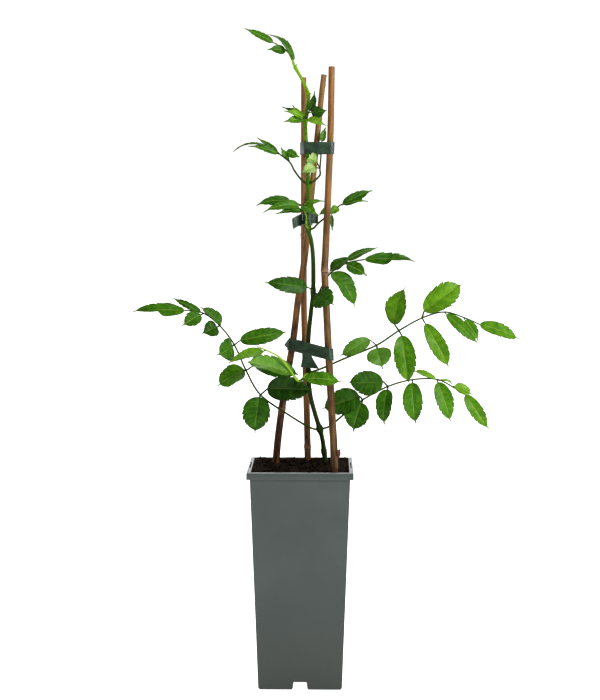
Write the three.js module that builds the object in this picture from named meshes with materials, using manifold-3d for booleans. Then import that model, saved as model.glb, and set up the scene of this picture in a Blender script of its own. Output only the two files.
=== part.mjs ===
// A young trumpet vine in a deep square nursery pot, tied to three bamboo canes.
// Millimetres, +Z up, +X to the viewer's right, +Y away from the viewer.
// The origin is the centre of the pot's underside, at the level that it stands on.
import * as THREE from 'three';
import { mergeVertices } from 'three/addons/utils/BufferGeometryUtils.js';
import Module from 'manifold-3d';

const wasm = await Module();
wasm.setup();

// Driving dimensions of the pot
const potHeight = 230;
const potBaseHalf = 43.6;
const potTopHalf = 51.9;
const potBaseEdge = 1.8;
const potWall = 1.5;
const potFloor = 1.8;
const rimHalf = 55;
const rimDrop = 7;
const rimSheet = 1.5;
const rimEdge = 0.6;
const cornerRound = 6;
const cornerSteps = 5;
const drainSlotTop = 14;
const drainSlotBottom = 17.4;
const drainSlotHeight = 8.3;
const drainSlotDepth = 30;
const drainHoleRadius = 4.5;
const drainHoleSides = 12;
const ridgeInWall = 0.8;
const labelSlotLength = 38;
const labelSlotOffset = -2;
const labelSlotMargin = 0.2;
const labelSlotDepth = 4;

// Driving dimensions of what stands in the pot
const gap = 0.3;
const soilEdge = 227.5;
const soilDome = 1.8;
const soilTilt = 0.05;
const soilLump = 0.9;
const soilRings = 6;
const coarseLump = 0.21;
const fineLump = 0.37;
const caneFoot = 45;
const caneSides = 8;
const caneRingSpacing = 60;
const caneNodeRise = 0.5;
const caneNodeSpread = 1.6;
const sheathThickness = 0.7;
const stemFoot = 200;
const stemSides = 7;
const stemRingSpacing = 14;
const stemFootRadius = 2.45;
const stemTipRadius = 1.2;
const stemTaperFrom = 270;
const stemTaperPower = 1.6;
const stemNodeSwell = 0.35;
const stemNodeSpread = 4;
const tapeHeight = 12;
const tapeThickness = 0.8;
const hoopSteps = 28;

// Driving dimensions of the leaves
const stalkThick = 1.15;
const stalkThin = 0.75;
const stalkSides = 5;
const stalkletLength = 3;
const bladeThickness = 0.8;
const bladeEnd = 0.6;
const bladeFold = 0.22;
const bladeArch = 0.08;
const outlineRise = 0.52;
const outlineFall = 0.62;
const toothDepth = 0.09;
const toothLead = 0.25;
const toothSpacing = 10;
const fewestTeeth = 2;
const mostTeeth = 4;

const colours = {
  pot: 0x59615d,
  soil: 0x2a1c14,
  cane: 0x95623f,
  tape: 0x2f4f3c,
  stem: 0x4f7a22,
  leaf: 0x3f7d1f,
  youngLeaf: 0x6fa93a,
};

const quarters = [0, 1, 2, 3];
const quarterTurn = Math.PI / 2;

const point = (list) => new THREE.Vector3(...list);

// Solids and booleans

function solidOf(geometry) {
  const bare = geometry.clone();
  bare.deleteAttribute('normal');
  bare.deleteAttribute('uv');
  const merged = mergeVertices(bare);
  const vertProperties = new Float32Array(merged.attributes.position.array);
  const triVerts = new Uint32Array(merged.index.array);
  return new wasm.Manifold(new wasm.Mesh({ numProp: 3, vertProperties, triVerts }));
}

function geometryOf(solid) {
  const mesh = solid.getMesh();
  const geometry = new THREE.BufferGeometry();
  geometry.setAttribute('position', new THREE.BufferAttribute(mesh.vertProperties, 3));
  geometry.setIndex(new THREE.BufferAttribute(mesh.triVerts, 1));
  return geometry;
}

const joined = (solids) => solids.reduce((whole, solid) => whole.add(solid));

const cut = (solid, tools) => tools.reduce((left, tool) => left.subtract(tool), solid);

function solidFrom(rings, index) {
  const geometry = new THREE.BufferGeometry();
  const position = rings.flat().flatMap((p) => p.toArray());
  geometry.setAttribute('position', new THREE.Float32BufferAttribute(position, 3));
  geometry.setIndex(index);
  return solidOf(geometry);
}

// A closed solid through rings of points, counter-clockwise seen from the far end.
// With looped set, the last ring meets the first, as in a hoop; otherwise both ends are capped.
function loft(rings, looped = false) {
  const count = rings[0].length;
  const index = [];
  const spans = looped ? rings.length : rings.length - 1;
  for (let ring = 0; ring < spans; ring += 1) {
    const near = ring * count;
    const far = ((ring + 1) % rings.length) * count;
    for (let step = 0; step < count; step += 1) {
      const next = (step + 1) % count;
      index.push(near + step, near + next, far + next);
      index.push(near + step, far + next, far + step);
    }
  }
  const last = (rings.length - 1) * count;
  for (let step = 1; step + 1 < count && !looped; step += 1) {
    index.push(0, step + 1, step);
    index.push(last, last + step, last + step + 1);
  }
  return solidFrom(rings, index);
}

// A round stem or cane along a smooth route, with a ring of points at each station from 0 to 1.
function roundAlong(route, stations, radiusAt, sides) {
  let normal = point([0, 1, 0]);
  const rings = stations.map((station) => {
    const centre = route.getPoint(station);
    const ahead = route.getTangent(station);
    normal = normal.addScaledVector(ahead, -normal.dot(ahead)).normalize();
    const binormal = ahead.clone().cross(normal);
    const radius = radiusAt(centre, station);
    return Array.from({ length: sides }, (_, side) => {
      const angle = (2 * Math.PI * side) / sides;
      return centre
        .clone()
        .addScaledVector(normal, radius * Math.cos(angle))
        .addScaledVector(binormal, radius * Math.sin(angle));
    });
  });
  return loft(rings);
}

// A thin plate through pairs of edge points, each pair a lower and an upper corner.
function thinPlate(pairs, thickness) {
  const rings = pairs.map(([low, high], place) => {
    const before = pairs[Math.max(0, place - 1)][0];
    const after = pairs[Math.min(pairs.length - 1, place + 1)][0];
    const along = point(after).sub(point(before));
    const across = point(high).sub(point(low));
    const out = along.cross(across).setLength(thickness / 2);
    return [
      point(low).sub(out),
      point(high).sub(out),
      point(high).add(out),
      point(low).add(out),
    ];
  });
  return loft(rings);
}

function box(low, high) {
  const size = point(high).sub(point(low));
  const middle = point(high).add(point(low)).multiplyScalar(0.5);
  const geometry = new THREE.BoxGeometry(size.x, size.y, size.z);
  geometry.translate(middle.x, middle.y, middle.z);
  return solidOf(geometry);
}

// Routes of canes and stems

const smoothRoute = (points) =>
  new THREE.CatmullRomCurve3(points.map(point), false, 'catmullrom', 0.5);

// The station where a route stands at a height; the canes and the stem climb all the way.
function stationAt(route, height) {
  let low = 0;
  let high = 1;
  for (let halving = 0; halving < 30; halving += 1) {
    const middle = (low + high) / 2;
    if (route.getPoint(middle).z < height) {
      low = middle;
    } else {
      high = middle;
    }
  }
  return low;
}

const centreAt = (route, height) => route.getPoint(stationAt(route, height));

// How much of a node's swelling shows at a height, from 0 to 1.
function swellAt(height, nodes, spread) {
  return Math.max(...nodes.map((node) => Math.exp(-(((height - node) / spread) ** 2))));
}

// Stations from end to end, about evenly spaced in height, with more of them round each node.
function climbingStations(route, spacing, nodes, spread) {
  const bottom = route.getPoint(0).z;
  const top = route.getPoint(1).z;
  const near = nodes.flatMap((height) => [-2, -1, 0, 1, 2].map((step) => height + step * spread));
  const heights = near.filter((height) => height > bottom && height < top);
  for (let height = bottom + spacing; height < top - spacing / 2; height += spacing) {
    if (nodes.every((node) => Math.abs(node - height) > 3 * spread)) {
      heights.push(height);
    }
  }
  return [0, ...heights.sort((x, y) => x - y).map((height) => stationAt(route, height)), 1];
}

// Pot: a tapered square shell with a turned-down rim, drained underneath

function squareRing(half, height, round) {
  return quarters.flatMap((quarter) => {
    const middle = (quarter + 0.5) * quarterTurn;
    const reach = (half - round) * Math.SQRT2;
    return Array.from({ length: cornerSteps }, (_, step) => {
      const angle = (quarter + step / (cornerSteps - 1)) * quarterTurn;
      const x = reach * Math.cos(middle) + round * Math.cos(angle);
      const y = reach * Math.sin(middle) + round * Math.sin(angle);
      return point([x, y, height]);
    });
  });
}

const outerHalf = (height) => potBaseHalf + ((potTopHalf - potBaseHalf) * height) / potHeight;

const innerHalf = (height) => outerHalf(height) - potWall;

function potShell() {
  const flange = potHeight - rimSheet;
  const skirt = potHeight - rimDrop;
  const profile = [
    [potBaseHalf - potBaseEdge, 0],
    [outerHalf(potBaseEdge), potBaseEdge],
    [outerHalf(skirt), skirt],
    [outerHalf(flange), flange],
    [rimHalf - rimSheet, flange],
    [rimHalf - rimSheet, skirt],
    [rimHalf - rimEdge, skirt - rimEdge],
    [rimHalf, skirt],
    [rimHalf, potHeight - rimEdge],
    [rimHalf - rimEdge, potHeight],
    [innerHalf(potHeight) + rimEdge, potHeight],
    [innerHalf(flange), flange],
    [innerHalf(potFloor), potFloor],
  ];
  return loft(profile.map(([half, height]) => squareRing(half, height, cornerRound)));
}

// A drainage channel runs in from the middle of each side, under a ridge of the floor.
function channel(grown, from, to, quarter) {
  const top = drainSlotTop / 2 + grown;
  const bottom = drainSlotBottom / 2 + grown;
  const outline = new THREE.Shape();
  outline.moveTo(-bottom, -1);
  outline.lineTo(bottom, -1);
  outline.lineTo(top, drainSlotHeight + grown);
  outline.lineTo(-top, drainSlotHeight + grown);
  const geometry = new THREE.ExtrudeGeometry(outline, { depth: to - from, bevelEnabled: false });
  geometry.translate(0, 0, from);
  geometry.rotateX(quarterTurn);
  geometry.rotateZ(quarter * quarterTurn);
  return solidOf(geometry);
}

const channelEnd = potBaseHalf - drainSlotDepth;

function floorRidges(grown) {
  const start = channelEnd - potWall - grown;
  const reach = innerHalf(0) + ridgeInWall;
  const ridges = quarters.map((quarter) => channel(potWall + grown, start, reach, quarter));
  const underFloor = box([-rimHalf, -rimHalf, -potHeight], [rimHalf, rimHalf, potFloor / 2]);
  return joined(ridges).subtract(underFloor);
}

function drainHole(quarter) {
  const height = 2 * drainHoleRadius;
  const geometry = new THREE.CylinderGeometry(drainHoleRadius, drainHoleRadius, height, drainHoleSides);
  geometry.rotateX(quarterTurn);
  geometry.translate(0, -channelEnd - drainHoleRadius - 1, drainSlotHeight);
  geometry.rotateZ(quarter * quarterTurn);
  return solidOf(geometry);
}

function labelSlot(side) {
  const inner = side * (outerHalf(potHeight) + labelSlotMargin);
  const outer = side * (rimHalf - rimSheet - labelSlotMargin);
  const start = labelSlotOffset - labelSlotLength / 2;
  const low = [Math.min(inner, outer), start, potHeight - labelSlotDepth];
  const high = [Math.max(inner, outer), start + labelSlotLength, potHeight + labelSlotDepth];
  return box(low, high);
}

function pot() {
  const walled = potShell().add(floorRidges(0));
  const channels = quarters.map((quarter) => channel(0, channelEnd, rimHalf, quarter));
  return cut(walled, [...channels, ...quarters.map(drainHole), labelSlot(-1), labelSlot(1)]);
}

// Canes: bamboo, with a low ring at each node and the remains of a sheath on one of them

const canes = {
  cane_left: {
    route: [
      [-33, 9, caneFoot], [-26, 8, 237], [-8, 5, 362], [-3, 5, 404], [5, 5, 456], [20, 6, 603],
      [24, 6, 638],
    ],
    foot: 4.4,
    top: 2.9,
    nodes: [200, 288, 371, 592],
    sheaths: [],
  },
  cane_rear: {
    route: [
      [9, 37, caneFoot], [7, 30, 234], [4, 21, 360], [3, 18, 403], [3, 13, 472], [3, 6, 560],
      [3, 3, 635],
    ],
    foot: 3.9,
    top: 2.8,
    nodes: [244.5, 471],
    sheaths: [],
  },
  cane_right: {
    route: [
      [36, -37, caneFoot], [35.2, -36, 230], [33, -31, 282], [29, -22, 354], [27, -18, 395],
      [25, -13, 435], [26, -10, 457], [29, -4, 529], [31, 0, 581], [32, 4, 646],
    ],
    foot: 4.3,
    top: 3.3,
    nodes: [435, 588],
    sheaths: [
      [
        [[36, -38, 242], [38.8, -36, 242]],
        [[37.6, -38.6, 246.5], [41.2, -37, 246.5]],
        [[38.4, -38.4, 251.5], [41.2, -37.2, 252.4]],
      ],
    ],
  },
};

function caneSolid(cane, grown) {
  const route = smoothRoute(cane.route);
  const height = cane.route.at(-1)[2] - caneFoot;
  const radiusAt = (centre) => {
    const plain = THREE.MathUtils.lerp(cane.foot, cane.top, (centre.z - caneFoot) / height);
    return plain + caneNodeRise * swellAt(centre.z, cane.nodes, caneNodeSpread) + grown;
  };
  const stations = climbingStations(route, caneRingSpacing, cane.nodes, caneNodeSpread);
  return roundAlong(route, stations, radiusAt, caneSides);
}

// Stem: climbs between the canes, swollen at each node

const stemNodes = {
  lowest: [24.5, 18, 241],
  first: [20, 10, 267],
  second: [8, -6, 328],
  third: [13, -6, 413],
  fourth: [8, -6, 478],
  fifth: [8, -6, 525],
  sixth: [5, -6, 590],
  seventh: [8, -5, 615],
  eighth: [-6, -4, 645],
};

const stemRoute = [
  [29, 22, stemFoot], [26, 20, 230], stemNodes.lowest, [23.2, 15, 253], stemNodes.first,
  [15, 3, 284], [10, -4, 305], stemNodes.second, [8, -6, 362], [11, -6, 394], stemNodes.third,
  [13, -6, 446], [11, -6, 466], stemNodes.fourth, [8, -6, 502], stemNodes.fifth,
  [7, -6, 552], stemNodes.sixth, stemNodes.seventh, [2, -4, 631], stemNodes.eighth,
];

function stemSolid(grown) {
  const route = smoothRoute(stemRoute);
  const heights = Object.values(stemNodes).map((node) => node[2]);
  const tip = heights.at(-1);
  const radiusAt = (centre) => {
    const climbed = Math.max(0, centre.z - stemTaperFrom) / (tip - stemTaperFrom);
    const plain = THREE.MathUtils.lerp(stemFootRadius, stemTipRadius, climbed ** stemTaperPower);
    return plain * (1 + stemNodeSwell * swellAt(centre.z, heights, stemNodeSpread)) + grown;
  };
  const stations = climbingStations(route, stemRingSpacing, heights.slice(0, -1), stemNodeSpread);
  return roundAlong(route, stations, radiusAt, stemSides);
}

// Soil: fills the pot, domed and lumpy on top, with plain holes for the canes and the stem

function soilHeight(x, y) {
  const away = Math.max(Math.abs(x), Math.abs(y)) / innerHalf(soilEdge);
  const coarse = Math.sin(coarseLump * x + 1) * Math.cos(coarseLump * y);
  const fine = Math.sin(fineLump * (x + y)) / 2;
  return soilEdge + soilDome * (1 - away ** 2) + soilTilt * y + soilLump * (coarse + fine);
}

function soil() {
  const inset = (height) => innerHalf(height) - gap;
  const wallHeights = [potFloor + gap, potHeight / 2, soilEdge - soilDome];
  const rings = wallHeights.map((height) => squareRing(inset(height), height, cornerRound));
  for (let ring = 0; ring < soilRings; ring += 1) {
    const share = 1 - ring / soilRings;
    const flat = squareRing(inset(soilEdge) * share, 0, cornerRound * share);
    rings.push(flat.map((p) => point([p.x, p.y, soilHeight(p.x, p.y)])));
  }
  const holes = Object.values(canes).map((cane) => caneSolid(cane, gap));
  return cut(loft(rings), [floorRidges(gap), ...holes, stemSolid(gap)]);
}

// Ties: green tape drawn in a hoop round the canes and the stem

const routes = {
  left: smoothRoute(canes.cane_left.route),
  rear: smoothRoute(canes.cane_rear.route),
  right: smoothRoute(canes.cane_right.route),
  stem: smoothRoute(stemRoute),
};

// Each tie: the height of its middle, how it slopes along X and Y, what it goes round with the
// radius there, and the corners of its loose ends.
const ties = {
  tie_top: {
    height: 562,
    slope: [0, -0.02],
    round: [[routes.left, 3.1], [routes.rear, 3], [routes.right, 3.6], [routes.stem, 2.3]],
    ends: [],
  },
  tie_middle: {
    height: 488,
    slope: [0.04, -0.04],
    round: [[routes.left, 3.4], [routes.rear, 3.3], [routes.stem, 2.8]],
    ends: [
      [
        [[2, 1, 483], [1, 1, 494]],
        [[-3, -2, 481], [-4, -2, 492]],
        [[-8, -5, 478], [-9, -5, 489]],
      ],
      [
        [[11.8, -3, 484], [11.8, -3, 494]],
        [[15, -2, 484], [15, -2, 494]],
        [[18, 0, 484], [18, 0, 494]],
      ],
    ],
  },
  tie_lower: {
    height: 354.8,
    slope: [-0.22, -0.06],
    round: [[routes.left, 4], [routes.rear, 3.6], [routes.right, 4.2], [routes.stem, 3.1]],
    ends: [
      [
        [[-13.9, 5, 353], [-13.9, 5, 364]],
        [[-15, 3, 354], [-15, 3, 365]],
        [[-17.5, 0, 356], [-17, 0, 365]],
      ],
      [
        [[2.5, -11.5, 350], [10, -14.5, 350]],
        [[1.5, -14, 342], [13, -16.5, 344]],
        [[0, -16, 335], [19.5, -19, 333.5]],
      ],
    ],
  },
};

function tieHoop(tie) {
  const level = (x, y) => tie.height + tie.slope[0] * x + tie.slope[1] * y;
  const circlesAt = (rise) =>
    tie.round.map(([route, radius]) => {
      const near = centreAt(route, tie.height);
      const centre = centreAt(route, level(near.x, near.y) + rise);
      return { x: centre.x, y: centre.y, radius };
    });
  const corner = (circles, rise, angle, extra) => {
    const toX = Math.cos(angle);
    const toY = Math.sin(angle);
    const reach = (circle) => circle.x * toX + circle.y * toY + circle.radius;
    const outer = circles.reduce((best, circle) => (reach(circle) > reach(best) ? circle : best));
    const x = outer.x + (outer.radius + extra) * toX;
    const y = outer.y + (outer.radius + extra) * toY;
    return point([x, y, level(x, y) + rise]);
  };
  const half = tapeHeight / 2;
  const upper = circlesAt(half);
  const lower = circlesAt(-half);
  const rings = Array.from({ length: hoopSteps }, (_, step) => {
    const angle = (2 * Math.PI * step) / hoopSteps;
    return [
      corner(upper, half, angle, gap),
      corner(upper, half, angle, gap + tapeThickness),
      corner(lower, -half, angle, gap + tapeThickness),
      corner(lower, -half, angle, gap),
    ];
  });
  return loft(rings, true);
}

// Leaves: a stalk with toothed leaflets in pairs and one at its end

// One leaflet: the stalk point that it grows from, how far its tip reaches from there, its width,
// where its upper face looks (lift from the viewer to the sky, swing to the right, in degrees),
// how much it arches, the way its own little stalk sets off, and how far its halves fold up.
function leaflet(from, reach, width, face, arch = bladeArch, stalk = null, fold = bladeFold) {
  return { from, reach, width, face, arch, stalk, fold };
}

const leaves = {
  leaf_1_left: {
    stalk: [
      [19.5, 9.5, 265.5], [8, 5, 269.8], [-14, -1, 284], [-42, -8, 305], [-57, -11, 331],
      [-69, -13, 358], [-84, -14, 378], [-101, -14, 391], [-119, -15, 394],
    ],
    leaflets: [
      leaflet(3, [-6, -8, -40], 29.5, [5, -10], 0.08, [-1, -1, -2]),
      leaflet(3, [55, -10, 6], 26, [15, 0], 0.1, [7, -2, 6.5]),
      leaflet(4, [-30, -6, -16], 25, [45, 0], 0.05, [-1.5, 0, 0.5]),
      leaflet(4, [56, -2, -4], 20, [25, 10], 0.08, [9, 0, 6]),
      leaflet(5, [55, 4, 13.5], 17, [10, 0], 0.06, [6, 0, 4.5]),
      leaflet(5, [-17, -20, -9], 26, [5, 50], 0.1),
      leaflet(6, [-20, 4, 20], 16, [30, 45], 0.08, [1, 0, 1.5]),
      leaflet(6, [-18, -8, -8], 18, [20, 10]),
      leaflet(7, [-33, 6, 15.5], 7.5, [20, 0], 0.04),
      leaflet(7, [-22, -6, -13], 16, [20, 0]),
      leaflet(8, [-56, -5, 0], 14.5, [15, 0], 0.06, [-1.2, 0, 0]),
    ],
  },
  leaf_1_right: {
    stalk: [
      stemNodes.first, [30, 6, 270], [45, 1, 283], [65, -8, 300], [91, -16, 315], [116, -24, 323],
      [141, -30, 324], [158, -34, 316], [169, -36, 309],
    ],
    leaflets: [
      leaflet(3, [-43, 8, -10.5], 27, [15, 10], 0.06, [-3, 0, 3.5]),
      leaflet(3, [-11, -6, -33], 26, [5, -15]),
      leaflet(4, [-43, 5, 4], 26, [-10, 0], 0.06, [-5, 0, 5]),
      leaflet(4, [-5, -7, -39.5], 19, [5, -25]),
      leaflet(5, [3, -7, -46], 20.5, [5, -15]),
      leaflet(6, [18, 6, -8], 4, [60, 0], 0.2),
      leaflet(6, [14, -5, -44], 18, [5, 10]),
      leaflet(6, [-26, 8, 8.5], 7, [45, 0], 0.08, [-1.5, 0, 0.5]),
      leaflet(7, [20, 6, -8], 11, [30, 0], 0.12, [0.5, 0, 1.5]),
      leaflet(7, [17, -3, -9], 5, [20, 0], 0.1),
      leaflet(8, [25, -5, -36], 11.5, [15, -5], 0.06, [0.8, -0.2, -0.4]),
    ],
  },
  leaf_2_right: {
    stalk: [
      stemNodes.second, [22, 2, 332], [47, 12, 342], [80, 20, 355], [104, 28, 370], [129, 36, 383],
      [153, 42, 389], [174, 46, 383], [190, 48, 376],
    ],
    leaflets: [
      leaflet(3, [-39, -6, -11.5], 16, [20, 0], 0.06, [-7, -1, 6]),
      leaflet(3, [6, -8, -25], 24, [5, 0]),
      leaflet(4, [6, 6, 47], 24, [10, -35], 0.1, [-4.5, 1, 6]),
      leaflet(4, [10, -8, -56], 23, [5, 0], 0.08, [3, -1, -5]),
      leaflet(5, [43, 6, 36.5], 26, [20, 0], 0.06, [2, 1, 7]),
      leaflet(5, [29, -8, -52], 18, [10, 0], 0.08, [3.5, -1, -6]),
      leaflet(6, [36, -8, -33], 13, [15, 10], 0.03),
      leaflet(7, [17, -4, -26], 11, [10, 20]),
      leaflet(8, [45, 5, -17], 15, [25, 0], 0.08, [1.5, 0, -0.5]),
    ],
  },
  leaf_2_left: {
    stalk: [
      stemNodes.second, [5, -15, 326], [-2, -28, 322], [-11, -31, 334], [-21, -37, 347],
      [-35, -41, 355], [-44, -44, 359],
    ],
    leaflets: [
      leaflet(2, [-53, -20, 22], 20, [25, 180], 0.04, [-5, -1, 7], 0.7),
      leaflet(2, [45, -14, 0], 15, [25, 0], 0.1, [6, -3, 3]),
      leaflet(5, [-38, -14, -11], 14, [55, 0], 0.03),
    ],
  },
  leaf_3_left: {
    stalk: [stemNodes.third, [12, -12, 415], [8, -14, 418]],
    leaflets: [
      leaflet(2, [-45, -12, 6], 17, [5, 0], 0.08, [-1, -0.2, 0.2]),
    ],
  },
  leaf_3_right: {
    stalk: [
      stemNodes.third, [18, -7, 411], [23, -2, 420], [31, 5, 432], [47, 10, 442], [66, 13, 446],
    ],
    leaflets: [
      leaflet(1, [17, -31, -10], 25, [10, 10], 0.05, [-2, -13, -1]),
      leaflet(3, [27, -6, -35], 23, [35, 40], 0.08, [1.8, -0.5, 0.6]),
      leaflet(4, [23, -6, -12], 14, [15, 10], 0.08, [1.4, -0.2, -1]),
      leaflet(4, [-19, 4, -10], 15, [50, -20], 0.05, [3.5, 0, 5]),
      leaflet(4, [34, 10, 17], 8.5, [35, 0], 0.06, [1.6, 1, 3.6]),
      leaflet(5, [55, 4, -1], 13, [20, 0], 0.06, [1, 0, 0.1]),
    ],
  },
  leaf_4_left: {
    stalk: [stemNodes.fourth, [6, -13, 483], [6, -15, 491], [4, -18, 498], [1, -20, 503]],
    leaflets: [
      leaflet(4, [-47, -2, 1], 10, [20, 0], 0.12, [-12, -2, 5]),
      leaflet(4, [-39, -12, -6], 11, [25, 0], 0.16),
      leaflet(3, [-29, -16, -4], 8, [30, 0], 0.1),
      leaflet(3, [14, -10, -6], 11, [30, 0], 0.1, [-2, -1, 5]),
      leaflet(4, [24, -1, 5], 6, [35, 0], 0.06),
    ],
  },
  leaf_4_right: {
    stalk: [
      stemNodes.fourth, [13, -8, 479], [18, -8, 484], [24, 0, 489], [32, 7, 496], [41, 10, 503],
    ],
    leaflets: [
      leaflet(5, [34, 2, 16.5], 10.5, [10, 0], 0.03),
      leaflet(5, [29, -6, 5], 5, [45, 0], 0.06),
      leaflet(5, [-11, -4, -10], 9, [20, 0]),
      leaflet(4, [-13, 0, -3], 7, [30, 0], 0.08, [-3, -0.5, 2.5]),
      leaflet(4, [1, 1, -20], 4, [5, 0], 0.04),
    ],
  },
  leaf_5_left: {
    stalk: [
      stemNodes.fifth, [2, -12, 528], [-6, -16, 538], [-11, -18, 547], [-21, -21, 555],
      [-28, -22, 561],
    ],
    leaflets: [
      leaflet(3, [10, -4, 4.5], 9, [10, 0], 0.06, [-3.5, -1, 11]),
      leaflet(3, [-9.5, -2, 15], 6, [10, 0], 0.06),
      leaflet(4, [-20, -3, 8], 6, [35, 0]),
      leaflet(4, [-24, 1, 17], 6, [35, 0], 0.06),
      leaflet(4, [-32, -8, 9], 7, [25, 0], 0.1),
      leaflet(5, [-41, -2, -2], 3, [40, 0], 0.24),
    ],
  },
  leaf_5_right: {
    stalk: [
      stemNodes.fifth, [14, -12, 528], [20, -10, 534], [20, -6, 541], [21, -1, 555], [21, 1, 566],
    ],
    leaflets: [
      leaflet(3, [-14, -8, 10], 14, [150, 20], 0.2, [-3, -3, 6]),
      leaflet(3, [-20, -9, -6], 12, [30, 20], 0.16, [-5, -4, 1]),
      leaflet(5, [4.5, 2, 18], 6.5, [5, 0], 0.06),
    ],
  },
  leaf_6_left: {
    stalk: [[6, -6, 575], [6, -11, 579], [5, -12, 586], [5, -13, 592]],
    leaflets: [
      leaflet(3, [-25, 6, 12], 6, [30, 0], 0.1),
      leaflet(3, [-14, -3, 13], 5, [10, -30], 0.04),
      leaflet(3, [-22, -8, 7], 9, [40, 0], 0.1),
      leaflet(3, [-22, -9, -4], 9, [20, 0], 0.06),
      leaflet(3, [21, -9, -8], 9, [30, 0], 0.12),
    ],
  },
  leaf_6_right: {
    stalk: [stemNodes.sixth, [7, -10, 594], [8, -11, 598]],
    leaflets: [
      leaflet(2, [7, -1, 22], 8, [10, 30], 0.08, [1, 0, 1.5]),
      leaflet(2, [19, -3, 2], 13, [-20, 0], 0.05),
    ],
  },
  leaf_top: {
    stalk: [stemNodes.eighth, [-9, -4, 653], [-14, -4, 661], [-26, -3, 669]],
    leaflets: [
      leaflet(3, [-32, -2, 15.5], 8, [20, 0], 0.05),
      leaflet(2, [-20, -8, 2], 9.5, [15, 0], 0.06, [-2, -1, 0.5]),
      leaflet(1, [-24, 3, 27], 11, [30, 60], 0.12, [2, 0, -1]),
    ],
  },
};

const youngLeaves = new Set(['leaf_2_left', 'leaf_5_right', 'leaf_6_left']);

// Half the blade's width along its midrib: an oval, fullest before the middle, with a long point.
function outlineAt(along) {
  const peak = outlineRise / (outlineRise + outlineFall);
  return (along / peak) ** outlineRise * ((1 - along) / (1 - peak)) ** outlineFall;
}

// The direction that a leaflet's upper face looks in, square to its midrib.
function faceNormal(face, midrib) {
  const lift = THREE.MathUtils.degToRad(face[0]);
  const swing = THREE.MathUtils.degToRad(face[1]);
  const level = Math.cos(lift);
  const looks = point([Math.sin(swing) * level, -Math.cos(swing) * level, Math.sin(lift)]);
  return looks.addScaledVector(midrib, -looks.dot(midrib)).normalize();
}

function bladePlace(from, item) {
  const tip = from.clone().add(point(item.reach));
  const setOff = item.stalk ? point(item.stalk) : point(item.reach).setLength(stalkletLength);
  const start = from.clone().add(setOff);
  const run = tip.clone().sub(start);
  const midrib = run.clone().normalize();
  const up = faceNormal(item.face, midrib);
  const across = up.clone().cross(midrib);
  const acrossStalk = up.clone().cross(setOff).normalize();
  return { from, start, length: run.length(), midrib, up, across, acrossStalk };
}

function bladePoint(place, item, along, aside) {
  const half = item.width / 2;
  const arched = item.arch * place.length * 4 * along * (1 - along);
  return place.start
    .clone()
    .addScaledVector(place.midrib, along * place.length)
    .addScaledVector(place.across, aside * half)
    .addScaledVector(place.up, arched + item.fold * Math.abs(aside) * half);
}

// A closed thin blade with forward-pointing teeth, drawn out into its own little stalk at the base:
// stations along the midrib, three points across each face.
function bladeSolid(from, item) {
  const place = bladePlace(from, item);
  const wanted = Math.round(place.length / toothSpacing);
  const stations = 2 * THREE.MathUtils.clamp(wanted, fewestTeeth, mostTeeth);
  const rows = [
    [1, 0, -1].map((side) => from.clone().addScaledVector(place.acrossStalk, side * bladeEnd)),
  ];
  for (let station = 0; station <= stations; station += 1) {
    const toothTip = station % 2 === 1;
    const along = station / stations;
    const ahead = toothTip ? along + toothLead / stations : along;
    const depth = toothTip ? toothDepth : -toothDepth;
    const aside = Math.max(bladeEnd / (item.width / 2), outlineAt(along) * (1 + depth));
    rows.push([
      bladePoint(place, item, ahead, aside),
      bladePoint(place, item, along, 0),
      bladePoint(place, item, ahead, -aside),
    ]);
  }
  const raised = (row, rise) => row.map((p) => p.clone().addScaledVector(place.up, rise));
  const half = bladeThickness / 2;
  return bladeLoft(rows.map((row) => [...raised(row, half), ...raised(row, -half).reverse()]));
}

// Like loft, but each quad is split from the midrib outwards, alike on both faces of the blade.
function bladeLoft(rings) {
  const count = rings[0].length;
  const index = [];
  const quad = (a, b, c, d) => index.push(a, b, c, a, c, d);
  for (let near = 0; near + count < rings.length * count; near += count) {
    const far = near + count;
    quad(near + 1, far + 1, far, near);
    quad(near + 1, near + 2, far + 2, far + 1);
    quad(near + 4, near + 5, far + 5, far + 4);
    quad(near + 4, far + 4, far + 3, near + 3);
    quad(near, far, far + 5, near + 5);
    quad(near + 2, near + 3, far + 3, far + 2);
  }
  const last = (rings.length - 1) * count;
  quad(0, 5, 4, 1);
  quad(1, 4, 3, 2);
  quad(last, last + 1, last + 4, last + 5);
  quad(last + 1, last + 2, last + 3, last + 4);
  return solidFrom(rings, index);
}

// A leaf stops just short of the stem that it grows from.
function leafSolid(leaf, grownStem) {
  const steps = 2 * (leaf.stalk.length - 1);
  const stations = Array.from({ length: steps + 1 }, (_, step) => step / steps);
  const radiusAt = (_, station) => THREE.MathUtils.lerp(stalkThick, stalkThin, station);
  const stalk = roundAlong(smoothRoute(leaf.stalk), stations, radiusAt, stalkSides);
  const blades = leaf.leaflets.map((item) => bladeSolid(point(leaf.stalk[item.from]), item));
  return joined([stalk, ...blades]).subtract(grownStem);
}

// The whole plant in its pot

const plant = new THREE.Group();

function addPart(name, solid, color, roughness) {
  const material = new THREE.MeshStandardMaterial({ color, roughness, flatShading: true });
  const mesh = new THREE.Mesh(geometryOf(solid), material);
  mesh.name = name;
  plant.add(mesh);
}

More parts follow.
